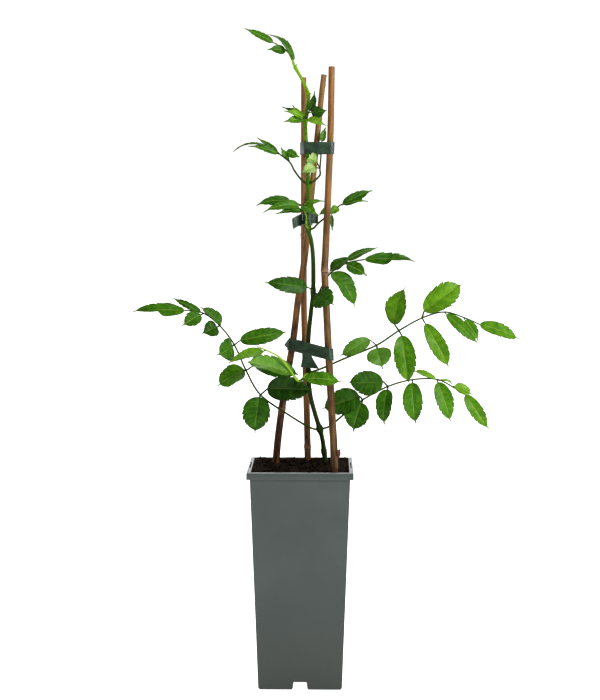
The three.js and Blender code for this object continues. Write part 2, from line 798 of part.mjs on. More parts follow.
addPart('pot', pot(), colours.pot, 0.5);
addPart('soil', soil(), colours.soil, 0.95);
for (const [name, cane] of Object.entries(canes)) {
  const sheaths = cane.sheaths.map((pairs) => thinPlate(pairs, sheathThickness));
  addPart(name, joined([caneSolid(cane, 0), ...sheaths]), colours.cane, 0.6);
}
for (const [name, tie] of Object.entries(ties)) {
  const ends = tie.ends.map((pairs) => thinPlate(pairs, tapeThickness));
  addPart(name, joined([tieHoop(tie), ...ends]), colours.tape, 0.45);
}
addPart('main_stem', stemSolid(0), colours.stem, 0.6);
const grownStem = stemSolid(gap);
for (const [name, leaf] of Object.entries(leaves)) {
  const colour = youngLeaves.has(name) ? colours.youngLeaf : colours.leaf;
  addPart(name, leafSolid(leaf, grownStem), colour, 0.5);
}

export default plant;
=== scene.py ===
# %% [markdown]
# # A young trumpet vine in its nursery pot
# The object is a deep square plastic pot filled with dark peat. Three bamboo canes stand in it,
# a green climbing stem winds up between them, and green tape ties the bundle at three heights.
# Thirteen leaves grow from the stem, each a stalk with toothed leaflets in pairs.
# Everything is first written down in millimetres, as it would be measured on a bench, and turned
# to metres when a mesh is made, because the frame that is loaded here is in metres.

# %% The frame that every piece is set in
import math
import random

import bmesh
import bpy
import numpy as np
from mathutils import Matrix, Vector, noise


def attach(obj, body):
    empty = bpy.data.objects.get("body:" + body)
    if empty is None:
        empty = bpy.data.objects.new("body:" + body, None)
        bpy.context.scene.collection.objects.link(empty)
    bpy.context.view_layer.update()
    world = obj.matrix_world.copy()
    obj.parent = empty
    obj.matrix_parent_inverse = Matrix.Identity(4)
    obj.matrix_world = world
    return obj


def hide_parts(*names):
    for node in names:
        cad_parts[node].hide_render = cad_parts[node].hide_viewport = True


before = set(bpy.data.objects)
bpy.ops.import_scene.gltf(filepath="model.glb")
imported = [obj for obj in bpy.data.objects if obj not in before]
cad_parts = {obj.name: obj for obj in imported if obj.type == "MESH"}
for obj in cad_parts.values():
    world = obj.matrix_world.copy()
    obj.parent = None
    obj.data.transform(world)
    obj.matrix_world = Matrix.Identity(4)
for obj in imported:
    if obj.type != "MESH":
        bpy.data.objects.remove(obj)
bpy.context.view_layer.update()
MM = 0.001

# %% [markdown]
# ## Camera
# The photograph was taken from a little above the middle of the plant, about 1.75 m away, with the
# camera tipped down by five degrees. These numbers come from the pot: its four visible edges have
# known lengths, so they fix where the camera stood. A long lens keeps the perspective gentle.

# %% The camera at the photograph's angle
camera_place = (0.028, -1.755, 0.5045)
tipped_down, turned_left = 0.0869, 0.0164
bpy.ops.object.camera_add(
    location=camera_place, rotation=(math.pi / 2 - tipped_down, 0, turned_left)
)
camera = bpy.context.object
camera.data.lens = 86.35
camera.data.sensor_width = 36
bpy.context.scene.camera = camera
view = bpy.context.scene.view_settings
view.view_transform = "Standard"
view.look = "Medium High Contrast"
print("camera:", tuple(round(v, 3) for v in camera.location), "lens", camera.data.lens)

# %% [markdown]
# ## Shader helpers
# Every finish in this scene is made of nodes. Colours are picked as they look on a screen, and one
# function turns them to the linear numbers that the shader needs. One helper adds a node, sets it
# and links it, and one more starts a material from its main shader.

# %% Helpers for nodes and materials
def linear(code):
    """A screen colour such as "4f8813" as linear red, green and blue with an opacity of 1."""
    parts = [int(code[at : at + 2], 16) / 255 for at in (0, 2, 4)]
    return [p / 12.92 if p <= 0.04045 else ((p + 0.055) / 1.055) ** 2.4 for p in parts] + [1]


def add(tree, kind, inputs=None, stops=None, **settings):
    """Add a node; inputs are values or other nodes' sockets, stops are a colour ramp's."""
    node = tree.nodes.new("ShaderNode" + kind)
    for name, value in settings.items():
        setattr(node, name, value)
    for name, value in (inputs or {}).items():
        if isinstance(value, bpy.types.NodeSocket):
            tree.links.new(value, node.inputs[name])
        else:
            node.inputs[name].default_value = value
    for place, (position, code) in enumerate(stops or []):
        steps = node.color_ramp.elements
        step = steps[place] if place < 2 else steps.new(position)
        step.position = position
        step.color = linear(code)
    return node


def finish(name, build, **fixed):
    """A material: build adds the nodes and returns what its colour, roughness and bump come from."""
    stuff = bpy.data.materials.new(name)
    stuff.use_nodes = True
    tree = stuff.node_tree
    tree.nodes.clear()
    shader = add(tree, "BsdfPrincipled", {**fixed, **build(tree)})
    tree.links.new(shader.outputs["BSDF"], add(tree, "OutputMaterial").inputs["Surface"])
    return stuff


# %% [markdown]
# ## Light
# A plant for sale is photographed against a lit white wall, with a strong soft light in front on
# the right: the canes are bright on their right sides and dark on their left. The white wall
# shows in the gloss at grazing angles, on the rim of the pot and along the stems. So the world is
# white towards the back and dimmer all round, and the camera sees plain white behind the plant.

# %% Soft studio light
world = bpy.data.worlds.new("white studio wall")
bpy.context.scene.world = world
world.use_nodes = True
studio = world.node_tree
studio.nodes.clear()
towards = add(studio, "SeparateXYZ", {0: add(studio, "TexCoord").outputs["Generated"]})
wall = add(
    studio, "MapRange",
    {"Value": towards.outputs["Y"], "From Min": 0.1, "From Max": 0.7, "To Min": 0.2, "To Max": 0.85},
)
seen = add(studio, "LightPath").outputs["Is Camera Ray"]
strength = add(studio, "Math", {0: wall.outputs[0], 1: seen}, operation="MAXIMUM")
white = add(studio, "Background", {"Color": (1, 1, 1, 1), "Strength": strength.outputs[0]})
studio.links.new(white.outputs[0], add(studio, "OutputWorld").inputs["Surface"])


plant_middle = Vector((0, 0, 0.33))


def soft_light(name, place, size, power):
    """A square area light that looks at the middle of the plant."""
    turn = (plant_middle - Vector(place)).to_track_quat("-Z", "Y").to_euler()
    bpy.ops.object.light_add(type="AREA", location=place, rotation=turn)
    light = bpy.context.object
    light.name = name
    light.data.size = size
    light.data.energy = power
    return light


for light in (
    soft_light("key", (1.5, -1.3, 1.2), 0.8, 28),
    soft_light("fill", (-1.7, -1.3, 0.8), 1.2, 3.5),
    soft_light("top", (0.1, 0.5, 2.2), 1.0, 10),
):
    print(light.name, light.data.energy, "W")

# %% [markdown]
# ## Finishes
# Each material is written for the real stuff: moulded polypropylene, peat, bamboo, polythene tape,
# green bark and leaf.

# %% [markdown]
# ### Moulded polypropylene
# The pot is moulded from recycled plastic: a grey with a breath of green, satin, nearly plain. The
# sheet is a little uneven, so its colour and shine drift over 30 to 80 mm. A fine grain of about
# 0.4 mm from the mould breaks up the shine. The top of the rim is smoother where other pots rub it,
# and it is coloured lighter there as a painted highlight. The pot is darker and browner towards its
# foot, and the inside of the wall above the soil is darkened in patches.

# %% Pot plastic
def pot_plastic(tree):
    here = add(tree, "TexCoord").outputs["Object"]
    clouds = add(tree, "TexNoise", {"Vector": here, "Scale": 16, "Detail": 3, "Roughness": 0.5})
    grain = add(tree, "TexNoise", {"Vector": here, "Scale": 2400, "Detail": 2})
    tone = add(
        tree, "ValToRGB", {"Fac": clouds.outputs["Fac"]},
        stops=[(0.3, "454d4a"), (0.5, "4a524f"), (0.7, "4f5755")],
    )
    away = add(tree, "VectorMath", {0: here}, operation="ABSOLUTE")
    sides = add(tree, "SeparateXYZ", {0: away.outputs[0]})
    widest = add(tree, "Math", {0: sides.outputs[0], 1: sides.outputs[1]}, operation="MAXIMUM")
    inward = add(tree, "Math", {0: widest.outputs[0], 1: 0.0508}, operation="LESS_THAN")
    height = add(tree, "SeparateXYZ", {0: here}).outputs["Z"]
    above = add(tree, "Math", {0: height, 1: 0.222}, operation="GREATER_THAN")
    inside = add(tree, "Math", {0: inward.outputs[0], 1: above.outputs[0]}, operation="MULTIPLY")
    # The inside of the wall above the soil is darkened in patches.
    inside_patches = add(tree, "TexNoise", {"Vector": here, "Scale": 300, "Detail": 5, "Roughness": 0.7})
    thick = add(
        tree, "MapRange",
        {"Value": inside_patches.outputs["Fac"], "From Min": 0.35, "From Max": 0.6, "To Min": 0.3},
    )
    inside_darkening = add(tree, "Math", {0: inside.outputs[0], 1: thick.outputs[0]}, operation="MULTIPLY")
    # Painted highlight: the top of the rim is coloured lighter. The same mask also makes the rim
    # smoother, as wear.
    rim_front = add(
        tree, "MapRange", {"Value": height, "From Min": 0.217, "From Max": 0.22, "To Max": 0.03}
    )
    rim_top = add(
        tree, "MapRange", {"Value": height, "From Min": 0.2288, "From Max": 0.2298, "To Max": 0.6}
    )
    wear_and_highlight = add(
        tree, "Math", {0: rim_front.outputs[0], 1: rim_top.outputs[0]}, operation="MAXIMUM"
    )
    tone_shift = add(
        tree, "Mix", {0: wear_and_highlight.outputs[0], 6: tone.outputs["Color"], 7: linear("a9b1ae")},
        data_type="RGBA",
    )
    # Darker and browner towards the foot of the pot, in uneven patches.
    foot = add(tree, "MapRange", {"Value": height, "From Max": 0.13, "To Min": 0.7, "To Max": 0})
    foot_darkening = add(tree, "Math", {0: foot.outputs[0], 1: clouds.outputs["Fac"]}, operation="MULTIPLY")
    darker_foot_tone = add(
        tree, "Mix", {0: foot_darkening.outputs[0], 6: tone_shift.outputs[2], 7: linear("36342a")},
        data_type="RGBA",
    )
    colour = add(
        tree, "Mix", {0: inside_darkening.outputs[0], 6: darker_foot_tone.outputs[2], 7: linear("1c140d")},
        data_type="RGBA",
    )
    satin = add(
        tree, "MapRange", {"Value": clouds.outputs["Fac"], "To Min": 0.3, "To Max": 0.48}
    )
    rough = add(
        tree, "Math", {0: wear_and_highlight.outputs[0], 1: -0.25, 2: satin.outputs[0]},
        operation="MULTIPLY_ADD",
    )
    bump = add(
        tree, "Bump", {"Height": grain.outputs["Fac"], "Strength": 0.2, "Distance": 0.0003}
    )
    return {
        "Base Color": colour.outputs[2], "Roughness": rough.outputs[0], "Normal": bump.outputs[0]
    }


polypropylene = finish("moulded polypropylene", pot_plastic, IOR=1.49)

# %% [markdown]
# ### Peat
# Potting peat is nearly black when moist, with brown fibres and lighter crumbs. The crumbs are
# 1 to 4 mm, so that is the size of the patches, and a finer grain roughens every crumb.

# %% Peat
def moist_peat(tree):
    here = add(tree, "TexCoord").outputs["Object"]
    crumbs = add(tree, "TexVoronoi", {"Vector": here, "Scale": 420})
    fine = add(tree, "TexNoise", {"Vector": here, "Scale": 1300, "Detail": 6, "Roughness": 0.7})
    blend = add(
        tree, "Mix", {0: 0.5, 2: crumbs.outputs["Color"], 3: fine.outputs["Fac"]}, data_type="FLOAT"
    )
    tone = add(
        tree, "ValToRGB", {"Fac": blend.outputs[0]},
        stops=[(0.2, "0f0a06"), (0.5, "22170d"), (0.72, "3b291a"), (0.9, "5f462c")],
    )
    bump = add(
        tree, "Bump", {"Height": fine.outputs["Fac"], "Strength": 0.9, "Distance": 0.0012}
    )
    return {"Base Color": tone.outputs["Color"], "Normal": bump.outputs[0]}


peat = finish("moist peat", moist_peat, **{"Roughness": 0.95, "Specular IOR Level": 0.15})

# %% [markdown]
# ### Bamboo
# A garden cane is a bamboo culm with its own smooth skin: buff to brown, with fine fibres along
# it, darker weathered patches, a pale band of scar at each node and dark lines in its grooves.
# The fibres run along the cane and not straight up, so the pattern reads an attribute that
# measures round and along the cane. The canes are darker towards the soil.

# %% Bamboo skin
def bamboo_skin(tones):
    def build(tree):
        along = add(tree, "Attribute", attribute_name="cane_grain").outputs["Vector"]
        dark_ring = add(tree, "Attribute", attribute_name="node_groove").outputs["Fac"]
        pale_band = add(tree, "Attribute", attribute_name="node_scar").outputs["Fac"]
        height = add(tree, "SeparateXYZ", {0: add(tree, "TexCoord").outputs["Object"]}).outputs[2]
        fibre = add(tree, "Mapping", {"Vector": along, "Scale": (1, 1, 0.02)})
        fibres = add(tree, "TexNoise", {"Vector": fibre.outputs[0], "Scale": 2200, "Detail": 4})
        patch = add(tree, "Mapping", {"Vector": along, "Scale": (1, 1, 0.22)})
        patches = add(
            tree, "TexNoise",
            {"Vector": patch.outputs[0], "Scale": 150, "Detail": 6, "Roughness": 0.62},
        )
        climb = add(
            tree, "MapRange", {"Value": height, "From Min": 0.24, "From Max": 0.58, "To Max": 0.6}
        )
        light = add(
            tree, "MapRange",
            {"Value": patches.outputs["Fac"], "From Min": 0.35, "From Max": 0.65, "To Max": 0.5},
        )
        level = add(tree, "Math", {0: climb.outputs[0], 1: light.outputs[0]})
        tone = add(tree, "ValToRGB", {"Fac": level.outputs[0]}, stops=tones)
        streak = add(
            tree, "ValToRGB", {"Fac": fibres.outputs["Fac"]},
            stops=[(0.32, "9c8470"), (0.5, "f4ece4"), (0.6, "ffffff")],
        )
        fibred = add(
            tree, "Mix", {0: 0.8, 6: tone.outputs["Color"], 7: streak.outputs["Color"]},
            data_type="RGBA", blend_type="MULTIPLY",
        )
        scar = add(
            tree, "Mix", {0: pale_band, 6: fibred.outputs[2], 7: linear("a07c62")},
            data_type="RGBA",
        )
        grooved = add(
            tree, "Mix", {0: dark_ring, 6: scar.outputs[2], 7: linear("2e1a10")},
            data_type="RGBA",
        )
        rough = add(
            tree, "MapRange", {"Value": patches.outputs["Fac"], "To Min": 0.3, "To Max": 0.6}
        )
        bump = add(
            tree, "Bump", {"Height": fibres.outputs["Fac"], "Strength": 0.4, "Distance": 0.0003}
        )
        return {
            "Base Color": grooved.outputs[2], "Roughness": rough.outputs[0],
            "Normal": bump.outputs[0],
        }
    return build


cane_tones = {
    "cane_left": ("brown", [(0, "24140a"), (0.3, "482a10"), (0.6, "966c44"), (1, "a28a58")]),
    "cane_rear": ("red brown", [(0, "442e19"), (0.3, "8c6238"), (0.6, "8e6844"), (1, "a87e54")]),
    "cane_right": ("buff", [(0, "382613"), (0.3, "5a4226"), (0.6, "80643e"), (1, "aa7a48")]),
}
bamboo = {
    name: finish("bamboo skin, " + tint, bamboo_skin(tones), **{"Specular IOR Level": 0.25})
    for name, (tint, tones) in cane_tones.items()
}


# %% Bamboo end grain
def cut_bamboo(tree):
    here = add(tree, "TexCoord").outputs["Object"]
    pores = add(tree, "TexVoronoi", {"Vector": here, "Scale": 2500})
    tone = add(
        tree, "ValToRGB", {"Fac": pores.outputs["Distance"]},
        stops=[(0.1, "4a3520"), (0.5, "a58a5e")],
    )
    return {"Base Color": tone.outputs["Color"]}


bamboo_cut = finish("bamboo end grain", cut_bamboo, Roughness=0.8)

# %% [markdown]
# ### Dry sheath
# Where a cane was stripped, a shred of the brown papery sheath is left. It is ribbed along its
# length and reddish brown.

# %% Dry sheath
def papery_sheath(tree):
    here = add(tree, "TexCoord").outputs["Object"]
    rib = add(tree, "Mapping", {"Vector": here, "Scale": (1, 1, 0.1)})
    ribs = add(tree, "TexNoise", {"Vector": rib.outputs[0], "Scale": 1500, "Detail": 3})
    tone = add(
        tree, "ValToRGB", {"Fac": ribs.outputs["Fac"]},
        stops=[(0.3, "341a10"), (0.55, "54301f"), (0.75, "7d5236")],
    )
    bump = add(tree, "Bump", {"Height": ribs.outputs["Fac"], "Strength": 0.8, "Distance": 0.0004})
    return {"Base Color": tone.outputs["Color"], "Normal": bump.outputs[0]}


dry_sheath = finish("dry bamboo sheath", papery_sheath, Roughness=0.75)

# %% [markdown]
# ### Polythene tie tape
# Nursery tape is stretchy polythene about 12 mm wide. Pulled tight round the canes it turns
# glossy and wrinkles in fine lines along its length. The folds are drawn with a stretched noise,
# and a soft highlight rides on them.

# %% Tape
def stretched_tape(tree):
    run = add(tree, "Attribute", attribute_name="tape_run").outputs["Vector"]
    pulled = add(tree, "Mapping", {"Vector": run, "Scale": (0.1, 1, 1)})
    creases = add(tree, "TexNoise", {"Vector": pulled.outputs[0], "Scale": 900, "Detail": 4})
    tone_shift = add(tree, "TexNoise", {"Vector": run, "Scale": 110, "Detail": 4})
    tone = add(
        tree, "ValToRGB", {"Fac": tone_shift.outputs["Fac"]},
        stops=[(0.3, "223426"), (0.55, "334b37"), (0.8, "425c46")],
    )
    bump = add(
        tree, "Bump", {"Height": creases.outputs["Fac"], "Strength": 0.5, "Distance": 0.0004}
    )
    return {"Base Color": tone.outputs["Color"], "Normal": bump.outputs[0]}


tie_tape = finish("stretched polythene tape", stretched_tape, Roughness=0.3, IOR=1.51)

# %% [markdown]
# ### Stem bark
# The stem is still green: dark olive and a little woody near the soil, bright yellow-green where
# it grows at the top. Part of the dark colour up to about 46 cm high is painted shade. Pale specks
# and fine lines run along it.

# %% Green stem
def green_bark(tree):
    here = add(tree, "TexCoord").outputs["Object"]
    height = add(tree, "SeparateXYZ", {0: here}).outputs[2]
    drawn = add(tree, "Mapping", {"Vector": here, "Scale": (1, 1, 0.15)})
    lines = add(tree, "TexNoise", {"Vector": drawn.outputs[0], "Scale": 1400, "Detail": 4})
    climb = add(tree, "MapRange", {"Value": height, "From Min": 0.23, "From Max": 0.64})
    shifted = add(tree, "Math", {0: lines.outputs["Fac"], 1: -0.5})
    uneven = add(
        tree, "Math", {0: shifted.outputs[0], 1: 0.5, 2: climb.outputs[0]}, operation="MULTIPLY_ADD"
    )
    # The dark stop at 0.56 is partly painted shade on the middle of the stem.
    tone = add(
        tree, "ValToRGB", {"Fac": uneven.outputs[0]},
        stops=[(0, "283a0c"), (0.3, "223604"), (0.56, "2b4603"), (0.8, "4e8600"), (1, "7ca80e")],
    )
    bump = add(tree, "Bump", {"Height": lines.outputs["Fac"], "Strength": 0.4, "Distance": 0.0003})
    return {"Base Color": tone.outputs["Color"], "Normal": bump.outputs[0]}


stem_bark = finish(
    "green stem bark", green_bark, **{"Roughness": 0.5, "Specular IOR Level": 0.18}
)

# %% [markdown]
# ### Leaf
# The upper side of a leaflet is glossy, with a pale midrib and side veins that end in the teeth,
# and the skin puffs up a little between them. The underside is paler and dull, with the veins
# standing proud. Young leaves are yellow-green and the oldest are dark; the margin and the drip tip
# dry to a darker line. The shader reads what the mesh stores at each point: how far it is from the
# midrib and from the nearest side vein, in millimetres, the place on the blade, how near the
# margin is, and the age of the leaflet.

# %% Leaf skin
def leaf_skin(colours, vein, vein_share, puff):
    def build(tree):
        place = add(tree, "Attribute", attribute_name="blade_place").outputs["Vector"]
        age = add(tree, "Attribute", attribute_name="leaf_age").outputs["Fac"]
        rib_off = add(tree, "Attribute", attribute_name="rib_off").outputs["Fac"]
        vein_off = add(tree, "Attribute", attribute_name="vein_off").outputs["Fac"]
        mottle = add(tree, "TexNoise", {"Vector": place, "Scale": 0.16, "Detail": 4})
        uneven = add(
            tree, "MapRange",
            {"Value": mottle.outputs["Fac"], "From Min": 0.3, "From Max": 0.7,
             "To Min": -0.14, "To Max": 0.14},
        )
        aged = add(tree, "Math", {0: age, 1: uneven.outputs[0]})
        tone = add(tree, "ValToRGB", {"Fac": aged.outputs[0]}, stops=colours)
        midrib = add(
            tree, "MapRange",
            {"Value": rib_off, "From Min": 0.2, "From Max": 0.75, "To Min": 1, "To Max": 0},
            interpolation_type="SMOOTHSTEP",
        )
        side = add(
            tree, "MapRange",
            {"Value": vein_off, "From Min": 0.05, "From Max": 0.5, "To Min": 0.3, "To Max": 0},
            interpolation_type="SMOOTHSTEP",
        )
        net = add(
            tree, "TexVoronoi", {"Vector": place, "Scale": 0.75}, feature="DISTANCE_TO_EDGE"
        )
        mesh_vein = add(
            tree, "MapRange",
            {"Value": net.outputs["Distance"], "From Max": 0.12, "To Min": 0.1, "To Max": 0},
        )
        lines = add(tree, "Math", {0: midrib.outputs[0], 1: side.outputs[0]}, operation="MAXIMUM")
        veins = add(
            tree, "Math", {0: lines.outputs[0], 1: mesh_vein.outputs[0]}, operation="MAXIMUM"
        )
        clear = add(
            tree, "MapRange",
            {"Value": age, "From Max": 0.5, "To Min": 0.25 * vein_share, "To Max": vein_share},
        )
        share = add(
            tree, "Math", {0: veins.outputs[0], 1: clear.outputs[0]}, operation="MULTIPLY"
        )
        veined = add(
            tree, "Mix", {0: share.outputs[0], 6: tone.outputs["Color"], 7: linear(vein)},
            data_type="RGBA",
        )
        edge = add(tree, "Attribute", attribute_name="margin").outputs["Fac"]
        dried = add(tree, "Math", {0: edge, 1: 0.45}, operation="MULTIPLY")
        edged = add(
            tree, "Mix", {0: dried.outputs[0], 6: veined.outputs[2], 7: linear("1d2d08")},
            data_type="RGBA",
        )
        fine = add(tree, "TexNoise", {"Vector": place, "Scale": 3, "Detail": 3})
        rough = add(
            tree, "MapRange", {"Value": fine.outputs["Fac"], "To Min": 0.3, "To Max": 0.56}
        )
        bump = add(
            tree, "Bump", {"Height": net.outputs["Distance"], "Strength": 0.35, "Distance": puff}
        )
        return {
            "Base Color": edged.outputs[2], "Roughness": rough.outputs[0],
            "Normal": bump.outputs[0],
        }
    return build


leaf_upper = finish(
    "leaf, glossy upper skin",
    leaf_skin(
        [(0, "183c00"), (0.3, "2f6003"), (0.6, "487f04"), (1, "7dab20")], "9cc25c", 0.6, 0.0003
    ),
    **{"Specular IOR Level": 0.22, "Subsurface Weight": 0.08,
       "Subsurface Radius": (0.4, 1, 0.1), "Subsurface Scale": 0.001},
)
leaf_under = finish(
    "leaf, dull underside",
    leaf_skin(
        [(0, "3b6428"), (0.4, "4a7a26"), (0.7, "64942e"), (1, "a2c074")], "a4c570", 0.5, 0.0004
    ),
    **{"Specular IOR Level": 0.2},
)


# %% Leaf stalks
def stalk_skin(tree):
    here = add(tree, "TexCoord").outputs["Object"]
    age = add(tree, "Attribute", attribute_name="leaf_age").outputs["Fac"]
    flecks = add(tree, "TexNoise", {"Vector": here, "Scale": 700, "Detail": 4})
    uneven = add(
        tree, "MapRange",
        {"Value": flecks.outputs["Fac"], "From Min": 0.3, "From Max": 0.7,
         "To Min": -0.2, "To Max": 0.2},
    )
    aged = add(tree, "Math", {0: age, 1: uneven.outputs[0]})
    tone = add(
        tree, "ValToRGB", {"Fac": aged.outputs[0]},
        stops=[(0, "1c2c0e"), (0.5, "3c5218"), (0.75, "6a8c22"), (1, "94bc40")],
    )
    bump = add(
        tree, "Bump", {"Height": flecks.outputs["Fac"], "Strength": 0.3, "Distance": 0.0002}
    )
    return {"Base Color": tone.outputs["Color"], "Normal": bump.outputs[0]}


leaf_stalk = finish("leaf stalk", stalk_skin, **{"Roughness": 0.6, "Specular IOR Level": 0.08})
print("finishes:", len(bpy.data.materials))

# %% [markdown]
# # Modelling
# Every piece starts from one of Blender's primitives and is shaped from there. Long round things
# are paths with a round bevel that are converted to a mesh. Flat bent things are grids whose
# vertices are moved to their places.

# %% Helpers for modelling
def only(*pieces):
    """Select these pieces alone, the first of them active."""
    bpy.ops.object.select_all(action="DESELECT")
    for piece in pieces:
        piece.select_set(True)
    bpy.context.view_layer.objects.active = pieces[0]


def join(name, pieces):
    """One piece from several; it takes over their materials."""
    only(*pieces)
    if len(pieces) > 1:
        bpy.ops.object.join()
    pieces[0].name = name
    return pieces[0]


def apply(piece, kind, **settings):
    """Add a modifier with its settings and apply it."""
    only(piece)
    modifier = piece.modifiers.new("shape", kind)
    for name, value in settings.items():
        setattr(modifier, name, value)
    bpy.ops.object.modifier_apply(modifier=modifier.name)


def vertices_of(piece):
    flat = np.empty(3 * len(piece.data.vertices))
    piece.data.vertices.foreach_get("co", flat)
    return flat.reshape(-1, 3)


def place_vertices(piece, millimetres):
    piece.data.vertices.foreach_set("co", (np.asarray(millimetres) * MM).ravel())
    piece.data.update()


def note(piece, name, values):
    """Store a number or a vector at each vertex, for the material to read."""
    values = np.asarray(values, float)
    vector = values.ndim == 2
    layer = piece.data.attributes.new(name, "FLOAT_VECTOR" if vector else "FLOAT", "POINT")
    layer.data.foreach_set("vector" if vector else "value", values.ravel())


def hand_over(piece, slot, *nodes):
    """Let the piece stand for its solids and ride on the body; the slot is not used."""
    only(piece)
    bpy.ops.object.shade_smooth_by_angle(angle=math.radians(38))
    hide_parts(*nodes)
    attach(piece, "root")
    corners = vertices_of(piece)
    size = [round(float(v), 1) for v in (corners.max(axis=0) - corners.min(axis=0)) / MM]
    print(piece.name, "mm:", size, "faces:", len(piece.data.polygons))


def strip(name, columns, rows):
    """A flat grid one unit wide and long, with its vertices row by row."""
    bpy.ops.mesh.primitive_grid_add(x_subdivisions=columns, y_subdivisions=rows, size=1)
    piece = bpy.context.object
    piece.name = name
    return piece


# %% [markdown]
# ## The floor
# The pot stands on a sheet of white acrylic that is lit from below, as on a light table. It hides
# the horizon and shows white through the drainage slot. The camera sees it glow fully, but it
# throws less light on the plant than that, so that the shade under the rim stays dark. It is not
# part of the object.

# %% White light table
def lit_acrylic(tree):
    here = add(tree, "TexCoord").outputs["Object"]
    cloud = add(tree, "TexNoise", {"Vector": here, "Scale": 3})
    tone = add(
        tree, "ValToRGB", {"Fac": cloud.outputs["Fac"]}, stops=[(0.3, "fafafa"), (0.7, "ffffff")]
    )
    seen = add(tree, "LightPath").outputs["Is Camera Ray"]
    glow = add(tree, "MapRange", {"Value": seen, "To Min": 0.4, "To Max": 1})
    return {
        "Base Color": tone.outputs["Color"], "Emission Color": tone.outputs["Color"],
        "Emission Strength": glow.outputs[0],
    }


bpy.ops.object.select_all(action="DESELECT")
bpy.ops.mesh.primitive_plane_add(size=12, location=(0, 3, -0.0005))
floor = bpy.context.object
floor.name = "floor"
acrylic = finish("white acrylic, lit from below", lit_acrylic, Roughness=0.9)
floor.data.materials.append(acrylic)

# %% [markdown]
# ## The pot
# A deep square pot, 11 cm wide at the rim and 23 cm tall, pressed from one sheet of plastic: the
# wall rises at a slight taper, turns out to a flange and down to a short skirt. It starts as a
# low block with rounded corners, and its top face is drawn up, out, down and back in along the
# wall's profile, as the sheet runs. That keeps the corners round on every line of it.

# %% The pot's sizes in millimetres
pot_height = 230
pot_wall = 1.5
base_half = 43.6
top_half = 51.9
rim_half = 55
rim_drop = 7
floor_top = 1.8


def outer_half(height):
    return base_half + (top_half - base_half) * height / pot_height


def inner_half(height):
    return outer_half(height) - pot_wall


flange = pot_height - pot_wall
skirt = pot_height - rim_drop
profile = [
    (outer_half(1.8), 1.8), (outer_half(110), 110), (outer_half(skirt), skirt),
    (outer_half(flange - 0.8), flange - 0.8), (outer_half(flange) + 0.8, flange),
    (rim_half - pot_wall - 0.6, flange), (rim_half - pot_wall, flange - 0.6),
    (rim_half - pot_wall, skirt), (rim_half - 1.1, skirt - 0.5), (rim_half - 0.5, skirt - 0.5),
    (rim_half, skirt), (rim_half, pot_height - 1.2), (rim_half - 0.35, pot_height - 0.35),
    (rim_half - 1.2, pot_height), (inner_half(pot_height) + 1.2, pot_height),
    (inner_half(pot_height) + 0.35, pot_height - 0.35), (inner_half(pot_height), pot_height - 1.2),
    (inner_half(120), 120), (inner_half(floor_top + 2), floor_top + 2),
    (inner_half(floor_top) - 1.5, floor_top),
]
print("profile points:", len(profile))

# %% The pot's wall
corner_round = 6
half, level = base_half - 1, 0.8
bpy.ops.mesh.primitive_cube_add(
    size=1, location=(0, 0, level / 2 * MM), scale=(2 * half * MM, 2 * half * MM, level * MM)
)
pot = bpy.context.object
only(pot)
bpy.ops.object.transform_apply(location=True, rotation=True, scale=True)
bpy.ops.object.mode_set(mode="EDIT")
shape = bmesh.from_edit_mesh(pot.data)
for edge in shape.edges:
    edge.select = abs(edge.verts[0].co.z - edge.verts[1].co.z) > 0.5 * MM
bmesh.update_edit_mesh(pot.data)
bpy.ops.mesh.bevel(offset=corner_round * MM, segments=8, affect="EDGES")
bpy.ops.mesh.select_all(action="DESELECT")
shape = bmesh.from_edit_mesh(pot.data)
for face in shape.faces:
    face.select = face.normal.z > 0.9
bmesh.update_edit_mesh(pot.data)
for next_half, next_level in profile:
    bpy.ops.mesh.extrude_region_move(
        TRANSFORM_OT_translate={"value": (0, 0, (next_level - level) * MM)}
    )
    share = next_half / half
    bpy.ops.transform.resize(value=(share, share, 1), center_override=(0, 0, 0))
    half, level = next_half, next_level
bpy.ops.object.mode_set(mode="OBJECT")
print("pot wall faces:", len(pot.data.polygons))

# %% [markdown]
# A drainage channel runs in from the middle of each side of the base, under a ridge of the floor,
# and a hole goes through the ridge. The channel's mouth flares a little at the ground. Each rim
# has a slot for a plant label on its left and right side, with a small rib under the rim at its far
# end. The slot's walls and the rib take the dark peat finish as painted shade. A channel is cut by a
# bar whose ends have the mouth's outline; it is made from a cylinder with as many sides as the
# outline has points.

# %% Drainage and label slots
channel_height = 8.3
channel_depth = 30
hole_radius = 4.5
channel_mouth = [
    (9.4, -1), (8.9, 0), (8.1, 0.4), (7.7, 1.2), (7.5, 2.4), (7, 7.6), (6.4, channel_height)
]
ridge_outline = [(8.7, floor_top - 0.4), (7, channel_height)]
label_x, label_y = 52.8, -2
label_length, label_gap = 38, 1.2


def channel_bar(name, half_outline, grown, start, reach, quarter):
    """A bar along the ground, from start to reach on one side of the pot, with a given outline."""
    outline = [(x + grown, z + (grown if z > 5 else 0)) for x, z in half_outline]
    outline += [(-x, z) for x, z in reversed(outline)]
    bpy.ops.mesh.primitive_cylinder_add(vertices=len(outline), end_fill_type="NGON")
    bar = bpy.context.object
    bar.name = name
    across = np.array([x for x, _ in outline for _ in (0, 1)])
    level = np.array([z for _, z in outline for _ in (0, 1)])
    along = np.tile([-reach, -start], len(outline))
    turn = quarter * math.pi / 2
    place_vertices(bar, np.column_stack([
        across * math.cos(turn) - along * math.sin(turn),
        across * math.sin(turn) + along * math.cos(turn),
        level,
    ]))
    only(bar)
    bpy.ops.object.mode_set(mode="EDIT")
    bpy.ops.mesh.select_all(action="SELECT")
    bpy.ops.mesh.normals_make_consistent(inside=False)
    bpy.ops.object.mode_set(mode="OBJECT")
    return bar


def combine(piece, tool, operation, keep=False):
    apply(piece, "BOOLEAN", object=tool, operation=operation, solver="EXACT")
    if not keep:
        bpy.data.objects.remove(tool)


